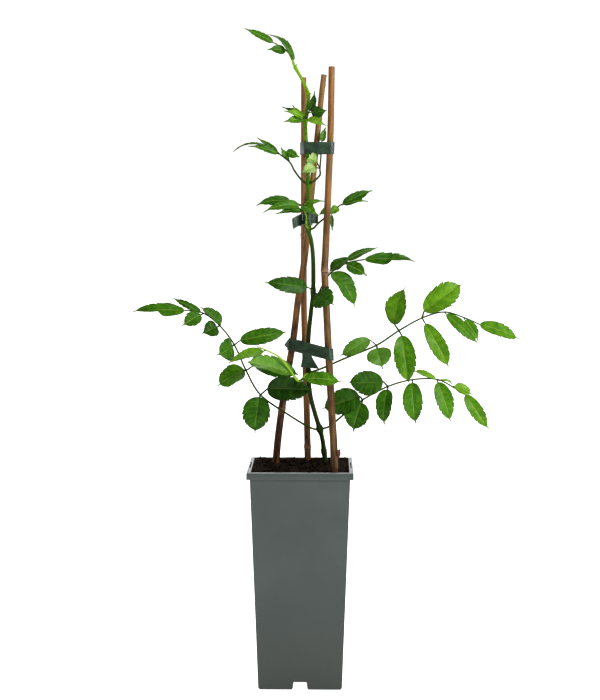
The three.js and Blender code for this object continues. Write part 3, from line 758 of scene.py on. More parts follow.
channel_end = base_half - channel_depth
ridge_end = inner_half(0) + 0.8
ridges = [
    channel_bar(
        f"ridge_{quarter}", ridge_outline, pot_wall, channel_end - pot_wall, ridge_end, quarter
    )
    for quarter in range(4)
]
for ridge in ridges:
    combine(pot, ridge, "UNION", keep=True)
for quarter in range(4):
    channel = channel_bar("channel", channel_mouth, 0, channel_end, rim_half, quarter)
    combine(pot, channel, "DIFFERENCE")
    turn = quarter * math.pi / 2
    away = channel_end + hole_radius + 1
    bpy.ops.mesh.primitive_cylinder_add(
        vertices=24, radius=hole_radius * MM, depth=2 * hole_radius * MM,
        location=(away * MM * math.sin(turn), -away * MM * math.cos(turn), channel_height * MM),
    )
    combine(pot, bpy.context.object, "DIFFERENCE")
for side in (-1, 1):
    bpy.ops.mesh.primitive_cube_add(
        size=1, location=(side * 52.7 * MM, 18.8 * MM, 225.9 * MM),
        scale=(2.2 * MM, 1.2 * MM, 5.4 * MM),
    )
    combine(pot, bpy.context.object, "UNION")
    bpy.ops.mesh.primitive_cube_add(
        size=1, location=(side * label_x * MM, label_y * MM, pot_height * MM),
        scale=(label_gap * MM, label_length * MM, 8 * MM),
    )
    combine(pot, bpy.context.object, "DIFFERENCE")
pot.data.materials.append(polypropylene)
pot.data.materials.append(peat)
# Painted shade: the slot's walls and the rib under the rim take the dark peat finish, so the slot
# looks dark.
for face in pot.data.polygons:
    x, y, z = face.center / MM
    slot_wall = abs(y - label_y) < label_length / 2 + 0.1 and 228 < z < 229.9
    rib = 18 < y < 20 and z > 223.5
    face.material_index = int((slot_wall or rib) and 52.1 < abs(x) < 53.45)
pot.name = "nursery_pot"
hand_over(pot, "pot", "pot")

# %% [markdown]
# ## The plant's and the canes' routes
# The canes and the stem are round rods along smooth routes. A route is given by a few points that
# it passes through, and the points between them come from the same kind of curve that the solids
# use, so a rod lies exactly where its solid does.

# %% Routes and rods
def smooth_route(points, steps=40):
    """Points along a smooth route through the given ones, with steps to each span."""
    given = np.array(points, float)
    knots = np.vstack([2 * given[0] - given[1], given, 2 * given[-1] - given[-2]])
    t = (np.arange(steps) / steps)[:, None]
    spans = []
    for a, b, c, d in zip(knots, knots[1:], knots[2:], knots[3:]):
        curve = 2 * b + (c - a) * t + (2 * a - 5 * b + 4 * c - d) * t**2
        spans.append((curve + (3 * b - a - 3 * c + d) * t**3) / 2)
    return np.vstack([*spans, given[-1:]])


def climb(route, heights):
    """The centres of a route that always climbs, at the given heights."""
    dense = smooth_route(route)
    x, y = (np.interp(heights, dense[:, 2], dense[:, axis]) for axis in (0, 1))
    return np.column_stack([x, y, heights])


def rod(name, centres, radii, sides, closed=True):
    """A round rod through centres in millimetres; its vertices run ring by ring."""
    bpy.ops.curve.primitive_nurbs_path_add(location=(0, 0, 0))
    piece = bpy.context.object
    piece.name = name
    line = piece.data
    line.splines.clear()
    spline = line.splines.new("POLY")
    spline.points.add(len(centres) - 1)
    place = np.column_stack([np.asarray(centres) * MM, np.ones(len(centres))])
    spline.points.foreach_set("co", place.ravel())
    spline.points.foreach_set("radius", np.asarray(radii, float))
    line.bevel_depth = MM
    line.bevel_resolution = (sides - 4) // 2
    only(piece)
    bpy.ops.object.convert(target="MESH")
    piece = bpy.context.object
    if closed:
        cap_ends(piece)
    return piece


def cap_ends(piece):
    only(piece)
    bpy.ops.object.mode_set(mode="EDIT")
    bpy.ops.mesh.select_all(action="SELECT")
    bpy.ops.mesh.fill_holes(sides=0)
    bpy.ops.mesh.normals_make_consistent(inside=False)
    bpy.ops.object.mode_set(mode="OBJECT")


cane_foot = 45
cane_table = {
    "cane_left": (
        [(-33, 9, 45), (-26, 8, 237), (-8, 5, 362), (-3, 5, 404), (5, 5, 456), (20, 6, 603),
         (24, 6, 638)], 4.4, 2.9, [200, 288, 371, 477, 592],
    ),
    "cane_rear": (
        [(9, 37, 45), (7, 30, 234), (4, 21, 360), (3, 18, 403), (3, 13, 472), (3, 6, 560),
         (3, 3, 635)], 3.9, 2.8, [244.5, 471],
    ),
    "cane_right": (
        [(36, -37, 45), (35.2, -36, 230), (33, -31, 282), (29, -22, 354), (27, -18, 395),
         (25, -13, 435), (26, -10, 457), (29, -4, 529), (31, 0, 581), (32, 4, 646)],
        4.3, 3.3, [435, 588],
    ),
}
clearness = {371: 0.2, 588: 0.15}
print("canes:", ", ".join(cane_table))

# %% [markdown]
# ## The canes
# A bamboo cane is nearly a plain rod, but its nodes give it away: a swollen joint, a fine groove
# under it, and then the thin sharp ring where the sheath sat. The radius is drawn with these
# three shapes, on rings a third of a millimetre apart near a node and far apart elsewhere. Two
# nodes were shaved nearly flat, so only their thin ring is left, and they have less clearness. The
# cut top shows the hollow, so the end face is inset and pushed in.

# %% Three canes
def bump_at(heights, middles, spread, peaks=1):
    """A smooth bump at each of the middles, from 0 to 1 or to its own peak."""
    away = np.subtract.outer(np.asarray(heights, float), middles)
    return (peaks * np.exp(-((away / spread) ** 2))).max(axis=1)


def cane_radius(heights, foot, top, top_height, nodes):
    plain = foot + (top - foot) * (heights - cane_foot) / (top_height - cane_foot)
    clear = np.array([clearness.get(node, 1) for node in nodes])
    nodes = np.array(nodes)
    plain += bump_at(heights, nodes + 0.6, 2.4, 0.5 * clear)
    plain += 0.3 * bump_at(heights, nodes - 3, 0.5)
    return plain - bump_at(heights, nodes - 2, 0.4, 0.3 * clear)


def hollow_end(piece, wall, depth):
    """Sink the middle of the highest end face, so that a wall is left standing round it."""
    only(piece)
    bpy.ops.object.mode_set(mode="EDIT")
    bpy.ops.mesh.select_all(action="DESELECT")
    shape = bmesh.from_edit_mesh(piece.data)
    end = max((f for f in shape.faces if len(f.verts) > 4), key=lambda f: f.calc_center_median().z)
    end.select = True
    bmesh.update_edit_mesh(piece.data)
    bpy.ops.mesh.inset(thickness=wall * MM)
    bpy.ops.mesh.extrude_region_move(TRANSFORM_OT_translate={"value": (0, 0, -depth * MM)})
    bpy.ops.object.mode_set(mode="OBJECT")


rings_round = 20
canes = {}
for name, (route, foot, top, nodes) in cane_table.items():
    top_height = route[-1][2]
    near = [node + step for node in nodes for step in np.arange(-5, 5.01, 0.33)]
    heights = np.unique(np.concatenate([np.arange(cane_foot, top_height, 6), near, [top_height]]))
    centres = climb(route, heights)
    radii = cane_radius(heights, foot, top, top_height, nodes)
    cane = rod(name, centres, radii, rings_round, closed=False)
    turn = np.tile(np.arange(rings_round) * 2 * math.pi / rings_round, len(heights))
    grain = [np.cos(turn) * foot, np.sin(turn) * foot, np.repeat(heights, rings_round)]
    note(cane, "cane_grain", np.column_stack(grain) * MM)
    clear = np.array([clearness.get(node, 1) for node in nodes])
    groove = bump_at(heights, np.array(nodes) - 2, 0.45, 0.95 * clear)
    scar = bump_at(heights, np.array(nodes) - 0.5, 3.4, 0.7 * clear)
    note(cane, "node_groove", np.repeat(groove, rings_round))
    note(cane, "node_scar", np.repeat(scar, rings_round))
    cap_ends(cane)
    skin_faces = len(cane.data.polygons)
    hollow_end(cane, 1, 12)
    cane.data.materials.append(bamboo[name])
    cane.data.materials.append(bamboo_cut)
    for face in cane.data.polygons:
        cut_end = face.index >= skin_faces or face.normal.z > 0.8
        if cut_end and face.center.z > (top_height - 13) * MM:
            face.material_index = 1
    canes[name] = cane
    if name != "cane_right":
        hand_over(cane, "cane", name)

# %% [markdown]
# A curled shred of sheath clings to the front cane just above the soil. It is a small grid, bent
# round the cane at its foot and standing off at its top.

# %% The shred of sheath
def ruled(lows, highs, columns, rows):
    """Points of a grid between a lower and an upper edge, each a smooth route."""
    low, high = (smooth_route(edge, 40) for edge in (lows, highs))
    picked = np.linspace(0, len(low) - 1, columns + 1).round().astype(int)
    share = np.linspace(0, 1, rows + 1)[:, None, None]
    return (low[picked] * (1 - share) + high[picked] * share).reshape(-1, 3)


shred = strip("shred", 12, 8)
points = ruled(
    [(35.8, -38.2, 241), (37.4, -38.9, 246), (38.4, -38.6, 251.5)],
    [(38.9, -36, 241), (41.6, -37, 246.5), (41.2, -37.4, 252.4)], 12, 8,
)
curl = np.sin(np.tile(np.linspace(0, math.pi, 13), 9) * 2) * 0.5
points[:, 1] += curl
place_vertices(shred, points)
apply(shred, "SOLIDIFY", thickness=0.5 * MM, offset=0)
shred.data.materials.append(dry_sheath)
hand_over(join("cane_right_dressed", [canes["cane_right"], shred]), "cane", "cane_right")

# %% [markdown]
# ## The soil
# Peat fills the pot almost to the rim and is heaped a little at the back. Its top is a fine grid
# that is lifted by the same long waves as the solid, and by smaller lumps. The grid's edge is drawn
# down to the pot's floor, and the ridges of the floor are cut out of it. Crumbs and shreds of bark
# then lie on top, because a smooth surface would look like paste. They are small and sunk along
# the edges, where the peat was pressed down.

# %% The block of peat
soil_edge = 227.5
gap = 0.3


def soil_top(x, y):
    away = np.maximum(np.abs(x), np.abs(y)) / inner_half(soil_edge)
    coarse = np.sin(0.21 * x + 1) * np.cos(0.21 * y)
    lumps = 0.9 * (coarse + np.sin(0.37 * (x + y)) / 2)
    return soil_edge + 1.8 * (1 - away**2) + 0.05 * y + lumps


def rounded(x, y, half, corner):
    """Pull the corners of a square grid in to round ones."""
    core = half - corner
    over_x, over_y = np.maximum(np.abs(x) - core, 0), np.maximum(np.abs(y) - core, 0)
    widest = np.maximum(over_x, over_y)
    length = np.hypot(over_x, over_y)
    pull = np.where(length > 0, widest / np.maximum(length, 1e-9), 1)
    both = (over_x > 0) & (over_y > 0)
    pull = np.where(both, pull, 1)
    return (
        np.sign(x) * (np.minimum(np.abs(x), core) + over_x * pull),
        np.sign(y) * (np.minimum(np.abs(y), core) + over_y * pull),
    )


soil_steps = 110
soil_half = inner_half(soil_edge) - gap
soil = strip("soil_block", soil_steps, soil_steps)
flat = vertices_of(soil) * 2 * soil_half
x, y = rounded(flat[:, 0], flat[:, 1], soil_half, 6)
lumps = np.array([noise.fractal((a / 5, b / 5, 3), 0.9, 2.1, 5) for a, b in zip(x, y)])
fade = np.clip((soil_half - np.maximum(np.abs(x), np.abs(y))) / 3, 0.3, 1)
place_vertices(soil, np.column_stack([x, y, soil_top(x, y) + 0.9 * lumps * fade - 0.3]))
only(soil)
bpy.ops.object.mode_set(mode="EDIT")
bpy.ops.mesh.select_all(action="SELECT")
bpy.ops.mesh.extrude_region_move(TRANSFORM_OT_translate={"value": (0, 0, -0.1)})
shape = bmesh.from_edit_mesh(soil.data)
taper = (inner_half(floor_top) - 1.8) / soil_half
for vertex in shape.verts:
    if vertex.select:
        vertex.co = (vertex.co.x * taper, vertex.co.y * taper, (floor_top + gap) * MM)
bmesh.update_edit_mesh(soil.data)
bpy.ops.mesh.dissolve_limited(angle_limit=0.01)
bpy.ops.mesh.select_all(action="SELECT")
bpy.ops.mesh.normals_make_consistent(inside=False)
bpy.ops.object.mode_set(mode="OBJECT")
for ridge in ridges:
    combine(soil, ridge, "DIFFERENCE")
print("peat block faces:", len(soil.data.polygons))

# %% Crumbs and shreds on the peat
chance = random.Random(7)
crumb_count = 640
edge = soil_half - 2
pieces = [soil]
for number in range(crumb_count):
    x = chance.uniform(-edge, edge)
    y = chance.uniform(-edge, edge) if number % 3 else chance.triangular(0, edge, edge)
    size = chance.choice([0.7, 0.9, 1.1, 1.4, 1.9, 2.6])
    near_edge = max(abs(x), abs(y)) > edge - 9
    size, sunk = (0.5 * size, 0.7) if near_edge else (size, 0.4)
    bpy.ops.mesh.primitive_ico_sphere_add(
        subdivisions=1, radius=size * MM,
        location=(x * MM, y * MM, (float(soil_top(x, y)) + 0.25 * size - sunk) * MM),
        rotation=[chance.uniform(0, 6) for _ in range(3)],
        scale=(1, chance.uniform(0.5, 1), chance.choice([0.5, 0.7, 1, 1.9])),
    )
    pieces.append(bpy.context.object)
only(*pieces)
bpy.ops.object.transform_apply(location=True, rotation=True, scale=True)
soil = join("peat", pieces)
soil.data.materials.clear()
soil.data.materials.append(peat)
hand_over(soil, "soil", "soil")

# %% [markdown]
# ## The stem
# The climbing stem leaves the soil at the back right and winds up between the canes. It thickens
# at each pair of leaves, and flares a little where it enters the soil. Small buds sit in the
# axils, each drawn from a cone and rounded.

# %% Stem
stem_nodes = {
    "lowest": (24.5, 18, 241), "first": (20, 10, 267), "second": (8, -6, 328),
    "third": (13, -6, 413), "fourth": (8, -6, 478), "fifth": (8, -6, 525),
    "sixth": (5, -6, 590), "seventh": (8, -5, 615), "eighth": (-6, -4, 645),
}
stem_route = [
    (29, 22, 200), (26, 20, 230), stem_nodes["lowest"], (23.2, 15, 253), stem_nodes["first"],
    (15, 3, 284), (10, -4, 305), stem_nodes["second"], (8, -6, 362), (11, -6, 394),
    stem_nodes["third"], (13, -6, 446), (11, -6, 466), stem_nodes["fourth"], (8, -6, 502),
    stem_nodes["fifth"], (7, -6, 552), stem_nodes["sixth"], stem_nodes["seventh"],
    (2, -4, 631), stem_nodes["eighth"],
]


def stem_radius(heights):
    climbed = np.maximum(0, heights - 270) / (645 - 270)
    plain = 2.45 + (1.55 - 2.45) * climbed**1.6
    levels = np.array([node[2] for node in stem_nodes.values()])
    swell = 0.35 * bump_at(heights, levels, 4) + 0.1 * bump_at(heights, levels + 2.4, 0.7)
    flare = 0.25 * bump_at(heights, [228], 5) + 0.3 * bump_at(heights, [266], 3)
    return plain * (1 + swell + flare)


heights = np.linspace(200, 645, 298)
stem = rod("stem", climb(stem_route, heights), stem_radius(heights), 14)
buds = []
for x, y, z in stem_nodes.values():
    for side in (-1, 1):
        bpy.ops.mesh.primitive_cone_add(
            vertices=8, radius1=1.1 * MM, radius2=0.15 * MM, depth=4 * MM,
            location=((x + side * 2) * MM, (y - 1) * MM, (z + 2.6) * MM),
            rotation=(0.2, side * 0.6, 0),
        )
        buds.append(bpy.context.object)
only(*buds)
bpy.ops.object.transform_apply(location=True, rotation=True, scale=True)
for bud in buds:
    apply(bud, "SUBSURF", levels=1, render_levels=1)
stem = join("climbing_stem", [stem, *buds])
stem.data.materials.clear()
stem.data.materials.append(stem_bark)
hand_over(stem, "stem", "main_stem")

# %% [markdown]
# ## The ties
# Tape pulled round a bundle follows the outside of it: it bends over each cane and runs straight
# between them. The outline is found by asking, for each direction, which rod reaches farthest.
# A strip is laid along that outline, slightly wavy, and then given its thickness. The loose ends
# are strips of their own.

# %% Tape round the bundle
tie_table = {
    "tie_top": (
        562, (0, -0.02),
        [("cane_left", 3.1), ("cane_rear", 3), ("cane_right", 3.6), ("stem", 2.3)], [],
    ),
    "tie_middle": (
        488, (0.04, -0.04), [("cane_left", 3.4), ("cane_rear", 3.3), ("stem", 2.8)],
        [
            ([(2, 1, 483), (-3, -2, 481), (-8, -5, 478)],
             [(1, 1, 494), (-4, -2, 492), (-9, -5, 489)]),
            ([(11.8, -3, 484), (15, -2, 484), (18, 0, 484)],
             [(11.8, -3, 494), (15, -2, 494), (18, 0, 494)]),
        ],
    ),
    "tie_lower": (
        354.8, (-0.22, -0.06),
        [("cane_left", 4), ("cane_rear", 3.6), ("cane_right", 4.2), ("stem", 3.1)],
        [
            ([(-12.2, 2.2, 352.5), (-14.6, 1.2, 354), (-17.2, 0, 356.4)],
             [(-12, 2.2, 364), (-14.6, 1.2, 360.8), (-17, 0, 357.4)]),
            ([(2.5, -11.5, 350), (1.5, -14, 342), (0, -16, 335)],
             [(10, -14.5, 350), (13, -16.5, 344), (19.5, -19, 333.5)]),
        ],
    ),
}
tape_half = 6
tape_thickness = 0.45
stand_off = gap + 0.35
tape_steps, end_steps = 160, 16
tape_rows = 8


def tape_band(name, height, slope, held):
    routes = {rod_name: entry[0] for rod_name, entry in cane_table.items()} | {"stem": stem_route}
    dense = {rod_name: smooth_route(route) for rod_name, route in routes.items()}
    turn = np.linspace(0, 2 * math.pi, tape_steps + 1)
    points = []
    for row in range(tape_rows + 1):
        rise = tape_half * (2 * row / tape_rows - 1)
        circles = []
        for rod_name, radius in held:
            line = dense[rod_name]
            at = [np.interp(height, line[:, 2], line[:, k]) for k in (0, 1)]
            level = height + slope[0] * at[0] + slope[1] * at[1] + rise
            circles.append([*(np.interp(level, line[:, 2], line[:, k]) for k in (0, 1)), radius])
        circles = np.array(circles)
        reach = np.outer(np.cos(turn), circles[:, 0]) + np.outer(np.sin(turn), circles[:, 1])
        outer = circles[np.argmax(reach + circles[:, 2], axis=1)]
        fold = 0.25 * np.sin(turn * 9 + rise) * np.sin(rise * 0.9)
        off = outer[:, 2] + stand_off + fold
        x, y = outer[:, 0] + off * np.cos(turn), outer[:, 1] + off * np.sin(turn)
        edge = 0.5 * np.sin(turn * 5 + 1) * (rise / tape_half)
        points.append(np.column_stack([x, y, height + slope[0] * x + slope[1] * y + rise + edge]))
    band = strip(name, tape_steps, tape_rows)
    place_vertices(band, np.vstack(points))
    note_run(band, tape_steps, tape_rows)
    only(band)
    bpy.ops.object.mode_set(mode="EDIT")
    bpy.ops.mesh.select_all(action="SELECT")
    bpy.ops.mesh.remove_doubles(threshold=1e-6)
    bpy.ops.mesh.normals_make_consistent(inside=False)
    bpy.ops.object.mode_set(mode="OBJECT")
    return band


def note_run(piece, columns, rows):
    """The place along and across the strip, measured on the strip itself."""
    corners = vertices_of(piece).reshape(rows + 1, columns + 1, 3)
    steps = np.linalg.norm(np.diff(corners, axis=1), axis=2)
    along = np.hstack([np.zeros((rows + 1, 1)), np.cumsum(steps, axis=1)])
    across = np.linspace(0, 2 * tape_half * MM, rows + 1)[:, None] + 0 * along
    note(piece, "tape_run", np.dstack([along, across, 0 * along]).reshape(-1, 3))


for name, (height, slope, held, ends) in tie_table.items():
    parts = [tape_band(name, height, slope, held)]
    for low, high in ends:
        end = strip("tape_end", end_steps, tape_rows)
        place_vertices(end, ruled(low, high, end_steps, tape_rows))
        note_run(end, end_steps, tape_rows)
        parts.append(end)
    for part in parts:
        apply(part, "SOLIDIFY", thickness=tape_thickness * MM, offset=0)
    tie = join(name + "_tape", parts)
    tie.data.materials.append(tie_tape)
    hand_over(tie, "tape", name)

# %% [markdown]
# ## The leaves
# A leaf of this vine is a grooved stalk with leaflets in pairs and one at its end. A leaflet is
# an oval with a long drip tip and a coarse saw edge. It folds up a little along its midrib, and
# it droops. The blade starts as a grid with a fixed number of rows to each tooth, so that every
# side vein lies on a row and ends in a tooth. The blade is puffed between the veins, bent, and
# set in its place. It then gets its thickness, a paler underside, and a rib beneath.

# %% Each leaf: its stalk, and its leaflets
# A leaflet is the stalk point that it grows from, the reach of its tip from there, its width,
# where its upper face looks in degrees (lift to the sky, swing to the right), how much it arches,
# the way its own little stalk sets off, and how far its halves fold up.
leaf_table = {
    "leaf_1_left": (
      [
        (19.5, 9.5, 265.5), (8, 5, 269.8), (-14, -1, 284), (-42, -8, 305), (-57, -11, 331),
        (-69, -13, 358), (-84, -14, 378), (-101, -14, 391), (-119, -15, 394),
      ],
      [
        (3, (-6, -8, -40), 29.5, (5, -10), 0.08, (-1, -1, -2)),
        (3, (55, -10, 6), 26, (15, 0), 0.1, (7, -2, 6.5)),
        (4, (-30, -6, -16), 25, (45, 0), 0.05, (-1.5, 0, 0.5)),
        (4, (56, -2, -4), 20, (25, 10), 0.08, (9, 0, 6)),
        (5, (55, 4, 13.5), 17, (10, 0), 0.06, (6, 0, 4.5)),
        (5, (-17, -20, -9), 26, (5, 50), 0.1),
        (6, (-20, 4, 20), 16, (30, 45), 0.08, (1, 0, 1.5)),
        (6, (-18, -8, -8), 18, (20, 10)),
        (7, (-33, 6, 15.5), 7.5, (20, 0), 0.04),
        (7, (-22, -6, -13), 16, (20, 0)),
        (8, (-56, -5, 0), 14.5, (15, 0), 0.06, (-1.2, 0, 0)),
      ],
    ),
    "leaf_1_right": (
      [
        stem_nodes["first"], (30, 6, 270), (45, 1, 283), (65, -8, 300), (91, -16, 315),
        (116, -24, 323), (141, -30, 324), (158, -34, 316), (169, -36, 309),
      ],
      [
        (3, (-43, 8, -10.5), 27, (15, 10), 0.06, (-3, 0, 3.5)),
        (3, (-11, -6, -33), 26, (5, -15)),
        (4, (-43, 5, 4), 26, (-10, 0), 0.06, (-5, 0, 5)),
        (4, (-5, -7, -39.5), 19, (5, -25)),
        (5, (3, -7, -46), 20.5, (5, -15)),
        (6, (18, 6, -8), 4, (60, 0), 0.2),
        (6, (14, -5, -44), 18, (5, 10)),
        (6, (-26, 8, 8.5), 7, (45, 0), 0.08, (-1.5, 0, 0.5)),
        (7, (20, 6, -8), 11, (30, 0), 0.12, (0.5, 0, 1.5)),
        (7, (17, -3, -9), 5, (20, 0), 0.1),
        (8, (25, -5, -36), 14, (15, -5), 0.06, (0.8, -0.2, -0.4)),
      ],
    ),
    "leaf_2_right": (
      [
        stem_nodes["second"], (22, 2, 332), (47, 12, 342), (80, 20, 355), (104, 28, 370),
        (129, 36, 383), (153, 42, 389), (174, 46, 383), (190, 48, 376),
      ],
      [
        (3, (-39, -6, -11.5), 16, (20, 0), 0.06, (-7, -1, 6)),
        (3, (6, -8, -25), 26.5, (5, 0)),
        (4, (6, 6, 47), 24, (10, -35), 0.1, (-4.5, 1, 6)),
        (4, (10, -8, -56), 23, (5, 0), 0.08, (3, -1, -5)),
        (5, (43, 6, 36.5), 26, (20, 0), 0.06, (2, 1, 7)),
        (5, (29, -8, -52), 18, (10, 0), 0.08, (3.5, -1, -6)),
        (6, (36, -8, -33), 13, (15, 10), 0.03),
        (7, (17, -4, -26), 11, (10, 20)),
        (8, (45, 5, -17), 15, (25, 0), 0.08, (1.5, 0, -0.5)),
      ],
    ),
    "leaf_2_left": (
      [
        stem_nodes["second"], (5, -15, 326), (-2, -28, 322), (-11, -31, 334), (-21, -37, 347),
        (-35, -41, 355), (-44, -44, 359),
      ],
      [
        (2, (-53, -20, 22), 20, (25, 180), 0.04, (-5, -1, 7), 0.7),
        (2, (45, -14, 0), 15, (25, 0), 0.1, (6, -3, 3)),
        (5, (-38, -14, -11), 14, (55, 0), 0.03),
      ],
    ),
    "leaf_3_left": (
      [
        stem_nodes["third"], (12, -12, 415), (8, -14, 418),
      ],
      [
        (2, (-45, -12, 6), 17, (5, 0), 0.08, (-1, -0.2, 0.2)),
      ],
    ),
    "leaf_3_right": (
      [
        stem_nodes["third"], (18, -7, 411), (23, -2, 420), (31, 5, 432), (47, 10, 442),
        (66, 13, 446),
      ],
      [
        (1, (17, -31, -10), 25, (10, 10), 0.05, (-2, -13, -1)),
        (3, (27, -6, -35), 26, (35, 40), 0.08, (1.8, -0.5, 0.6)),
        (4, (23, -6, -12), 14, (15, 10), 0.08, (1.4, -0.2, -1)),
        (4, (-19, 4, -10), 15, (50, -20), 0.05, (3.5, 0, 5)),
        (4, (34, 10, 17), 8.5, (35, 0), 0.06, (1.6, 1, 3.6)),
        (5, (55, 4, -1), 13, (20, 0), 0.06, (1, 0, 0.1)),
      ],
    ),
    "leaf_4_left": (
      [
        stem_nodes["fourth"], (6, -13, 483), (6, -15, 491), (4, -18, 498), (1, -20, 503),
      ],
      [
        (4, (-47, -2, 1), 10, (20, 0), 0.12, (-12, -2, 5)),
        (4, (-39, -12, -6), 11, (25, 0), 0.16),
        (3, (-29, -16, -4), 8, (30, 0), 0.1),
        (3, (14, -10, -6), 11, (30, 0), 0.1, (-2, -1, 5)),
        (4, (24, -1, 5), 6, (35, 0), 0.06),
      ],
    ),
    "leaf_4_right": (
      [
        stem_nodes["fourth"], (13, -8, 479), (18, -8, 484), (24, 0, 489), (32, 7, 496),
        (41, 10, 503),
      ],
      [
        (5, (34, 2, 16.5), 10.5, (10, 0), 0.03),
        (5, (29, -6, 5), 5, (45, 0), 0.06),
        (5, (-11, -4, -10), 9, (20, 0)),
        (4, (-13, 0, -3), 7, (30, 0), 0.08, (-3, -0.5, 2.5)),
        (4, (1, 1, -20), 4, (5, 0), 0.04),
      ],
    ),
    "leaf_5_left": (
      [
        stem_nodes["fifth"], (2, -12, 528), (-6, -16, 538), (-11, -18, 547), (-21, -21, 555),
        (-28, -22, 561),
      ],
      [
        (3, (10, -4, 4.5), 9, (10, 0), 0.06, (-3.5, -1, 11)),
        (3, (-9.5, -2, 15), 6, (10, 0), 0.06),
        (4, (-20, -3, 8), 6, (35, 0)),
        (4, (-24, 1, 17), 6, (35, 0), 0.06),
        (4, (-32, -8, 9), 7, (25, 0), 0.1),
        (5, (-41, -2, -2), 3, (40, 0), 0.24),
      ],
    ),
    "leaf_5_right": (
      [
        stem_nodes["fifth"], (14, -12, 528), (20, -10, 534), (20, -6, 541), (21, -1, 555),
        (21, 1, 566),
      ],
      [
        (3, (-14, -8, 10), 14, (150, 20), 0.2, (-3, -3, 6)),
        (3, (-20, -9, -6), 12, (30, 20), 0.16, (-5, -4, 1)),
        (5, (4.5, 2, 18), 6.5, (5, 0), 0.06),
      ],
    ),
    "leaf_6_left": (
      [
        (6, -6, 575), (6, -11, 579), (5, -12, 586), (5, -13, 592),
      ],
      [
        (3, (-25, 6, 12), 6, (30, 0), 0.1),
        (3, (-14, -3, 13), 5, (10, -30), 0.04),
        (3, (-22, -8, 7), 9, (40, 0), 0.1),
        (3, (-22, -9, -4), 9, (20, 0), 0.06),
        (3, (21, -9, -8), 9, (30, 0), 0.12),
      ],
    ),
    "leaf_6_right": (
      [
        stem_nodes["sixth"], (7, -10, 594), (8, -11, 598),
      ],
      [
        (2, (7, -1, 22), 8, (10, 30), 0.08, (1, 0, 1.5)),
        (2, (19, -3, 2), 13, (-20, 0), 0.05),
      ],
    ),
    "leaf_top": (
      [
        stem_nodes["eighth"], (-9, -4, 653), (-14, -4, 661), (-26, -3, 669),
      ],
      [
        (3, (-32, -2, 15.5), 8, (20, 0), 0.05),
        (2, (-20, -8, 2), 9.5, (15, 0), 0.06, (-2, -1, 0.5)),
        (1, (-24, 3, 27), 13, (30, 60), 0.12, (2, 0, -1)),
      ],
    ),
}
print("leaves:", len(leaf_table), "leaflets:", sum(len(rows) for _, rows in leaf_table.values()))

# %% How old each leaf is, from 0 for old and dark to 1 for new and pale
# The stalk's first, and then one for each leaflet.
leaf_ages = {
    "leaf_1_left": [0.3, 0.28, 0.04, 0.55, 0.28, 0.42, 0.45, 0.38, 0.25, 0.38, 0.45, 0.5],
    "leaf_1_right": [0.45, 0.25, 0.35, 0.28, 0.35, 0.55, 0.95, 0.62, 0.9, 0.85, 0.85, 0.68],
    "leaf_2_right": [0.35, 0.55, 0.6, 0.72, 0.66, 0.78, 0.74, 0.6, 0.66, 0.68],
    "leaf_2_left": [1, 0.6, 0.6, 0.8],
    "leaf_3_left": [0.35, 0.22],
    "leaf_3_right": [0.35, 0.25, 0.44, 0.35, 0.3, 0.28, 0.35],
    "leaf_4_left": [0.8, 0.35, 0.5, 0.35, 0.55, 0.6],
    "leaf_4_right": [0.3, 0.3, 0.4, 0.75, 0.6, 0.2],
    "leaf_5_left": [0.25, 0.35, 0.4, 0.4, 0.35, 0.4, 0.2],
    "leaf_5_right": [0.35, 1, 1, 0.6],
    "leaf_6_left": [0.7, 0.1, 0.8, 0.9, 0.65, 0.95],
    "leaf_6_right": [0.4, 0.05, 0.1],
    "leaf_top": [0.9, 0.5, 0.35, 0.35],
}
# These leaflets, counted from the first of their leaf, turn their dull backs up.
backs_in_view = {"leaf_2_right": (0, 1), "leaf_5_right": (1, 2)}


# %% The shape of one blade
def outline_at(along, fullest, slim, drip, thin):
    """Half the width along the midrib as a share of the widest; an oval with a thin drip tip."""
    blade = np.clip(along / (1 - drip), 0, 1)
    rise, fall = 0.95 * slim * fullest, 1.1 * slim * (1 - fullest)
    oval = (blade / fullest) ** rise * ((1 - blade) / (1 - fullest)) ** fall
    return np.maximum(oval, thin * np.clip((1 - along) / drip, 0, 1) ** 0.7 * (along > 0.5))


def blade_frame(stalk_point, reach, face, set_off):
    start = stalk_point + set_off
    run = stalk_point + reach - start
    midrib = run / np.linalg.norm(run)
    lift, swing = np.radians(face)
    looks = np.array([
        math.sin(swing) * math.cos(lift), -math.cos(swing) * math.cos(lift), math.sin(lift)
    ])
    up = looks - looks.dot(midrib) * midrib
    up /= np.linalg.norm(up)
    return start, np.linalg.norm(run), midrib, np.cross(midrib, up), up


def half_tilt(along, upper, twisted):
    """How far each half of the blade turns up about the midrib, in radians.

    Every blade sways a little. A twisted one has its lower half turned edge on towards the tip,
    and its upper half near the base.
    """
    sway = 0.14 * np.sin(along * 7 + leaf_chance.uniform(0, 6.3) + 2 * upper)
    if not twisted:
        return sway
    lower_turn = 1.15 * np.interp(along, [0.4, 0.5], [0, 1])
    upper_turn = 0.8 * np.interp(along, [0.15, 0.42], [1, 0])
    return sway + np.where(upper, upper_turn, lower_turn)


tooth_rows = 6
side_columns = 7
tooth_spacing = 5
blade_thickness = 0.45
drip_length, drip_half = 4, 0.65
midrib_groove, groove_spread = 0.35, 0.8
rib_depth, rib_sides = 0.45, 6


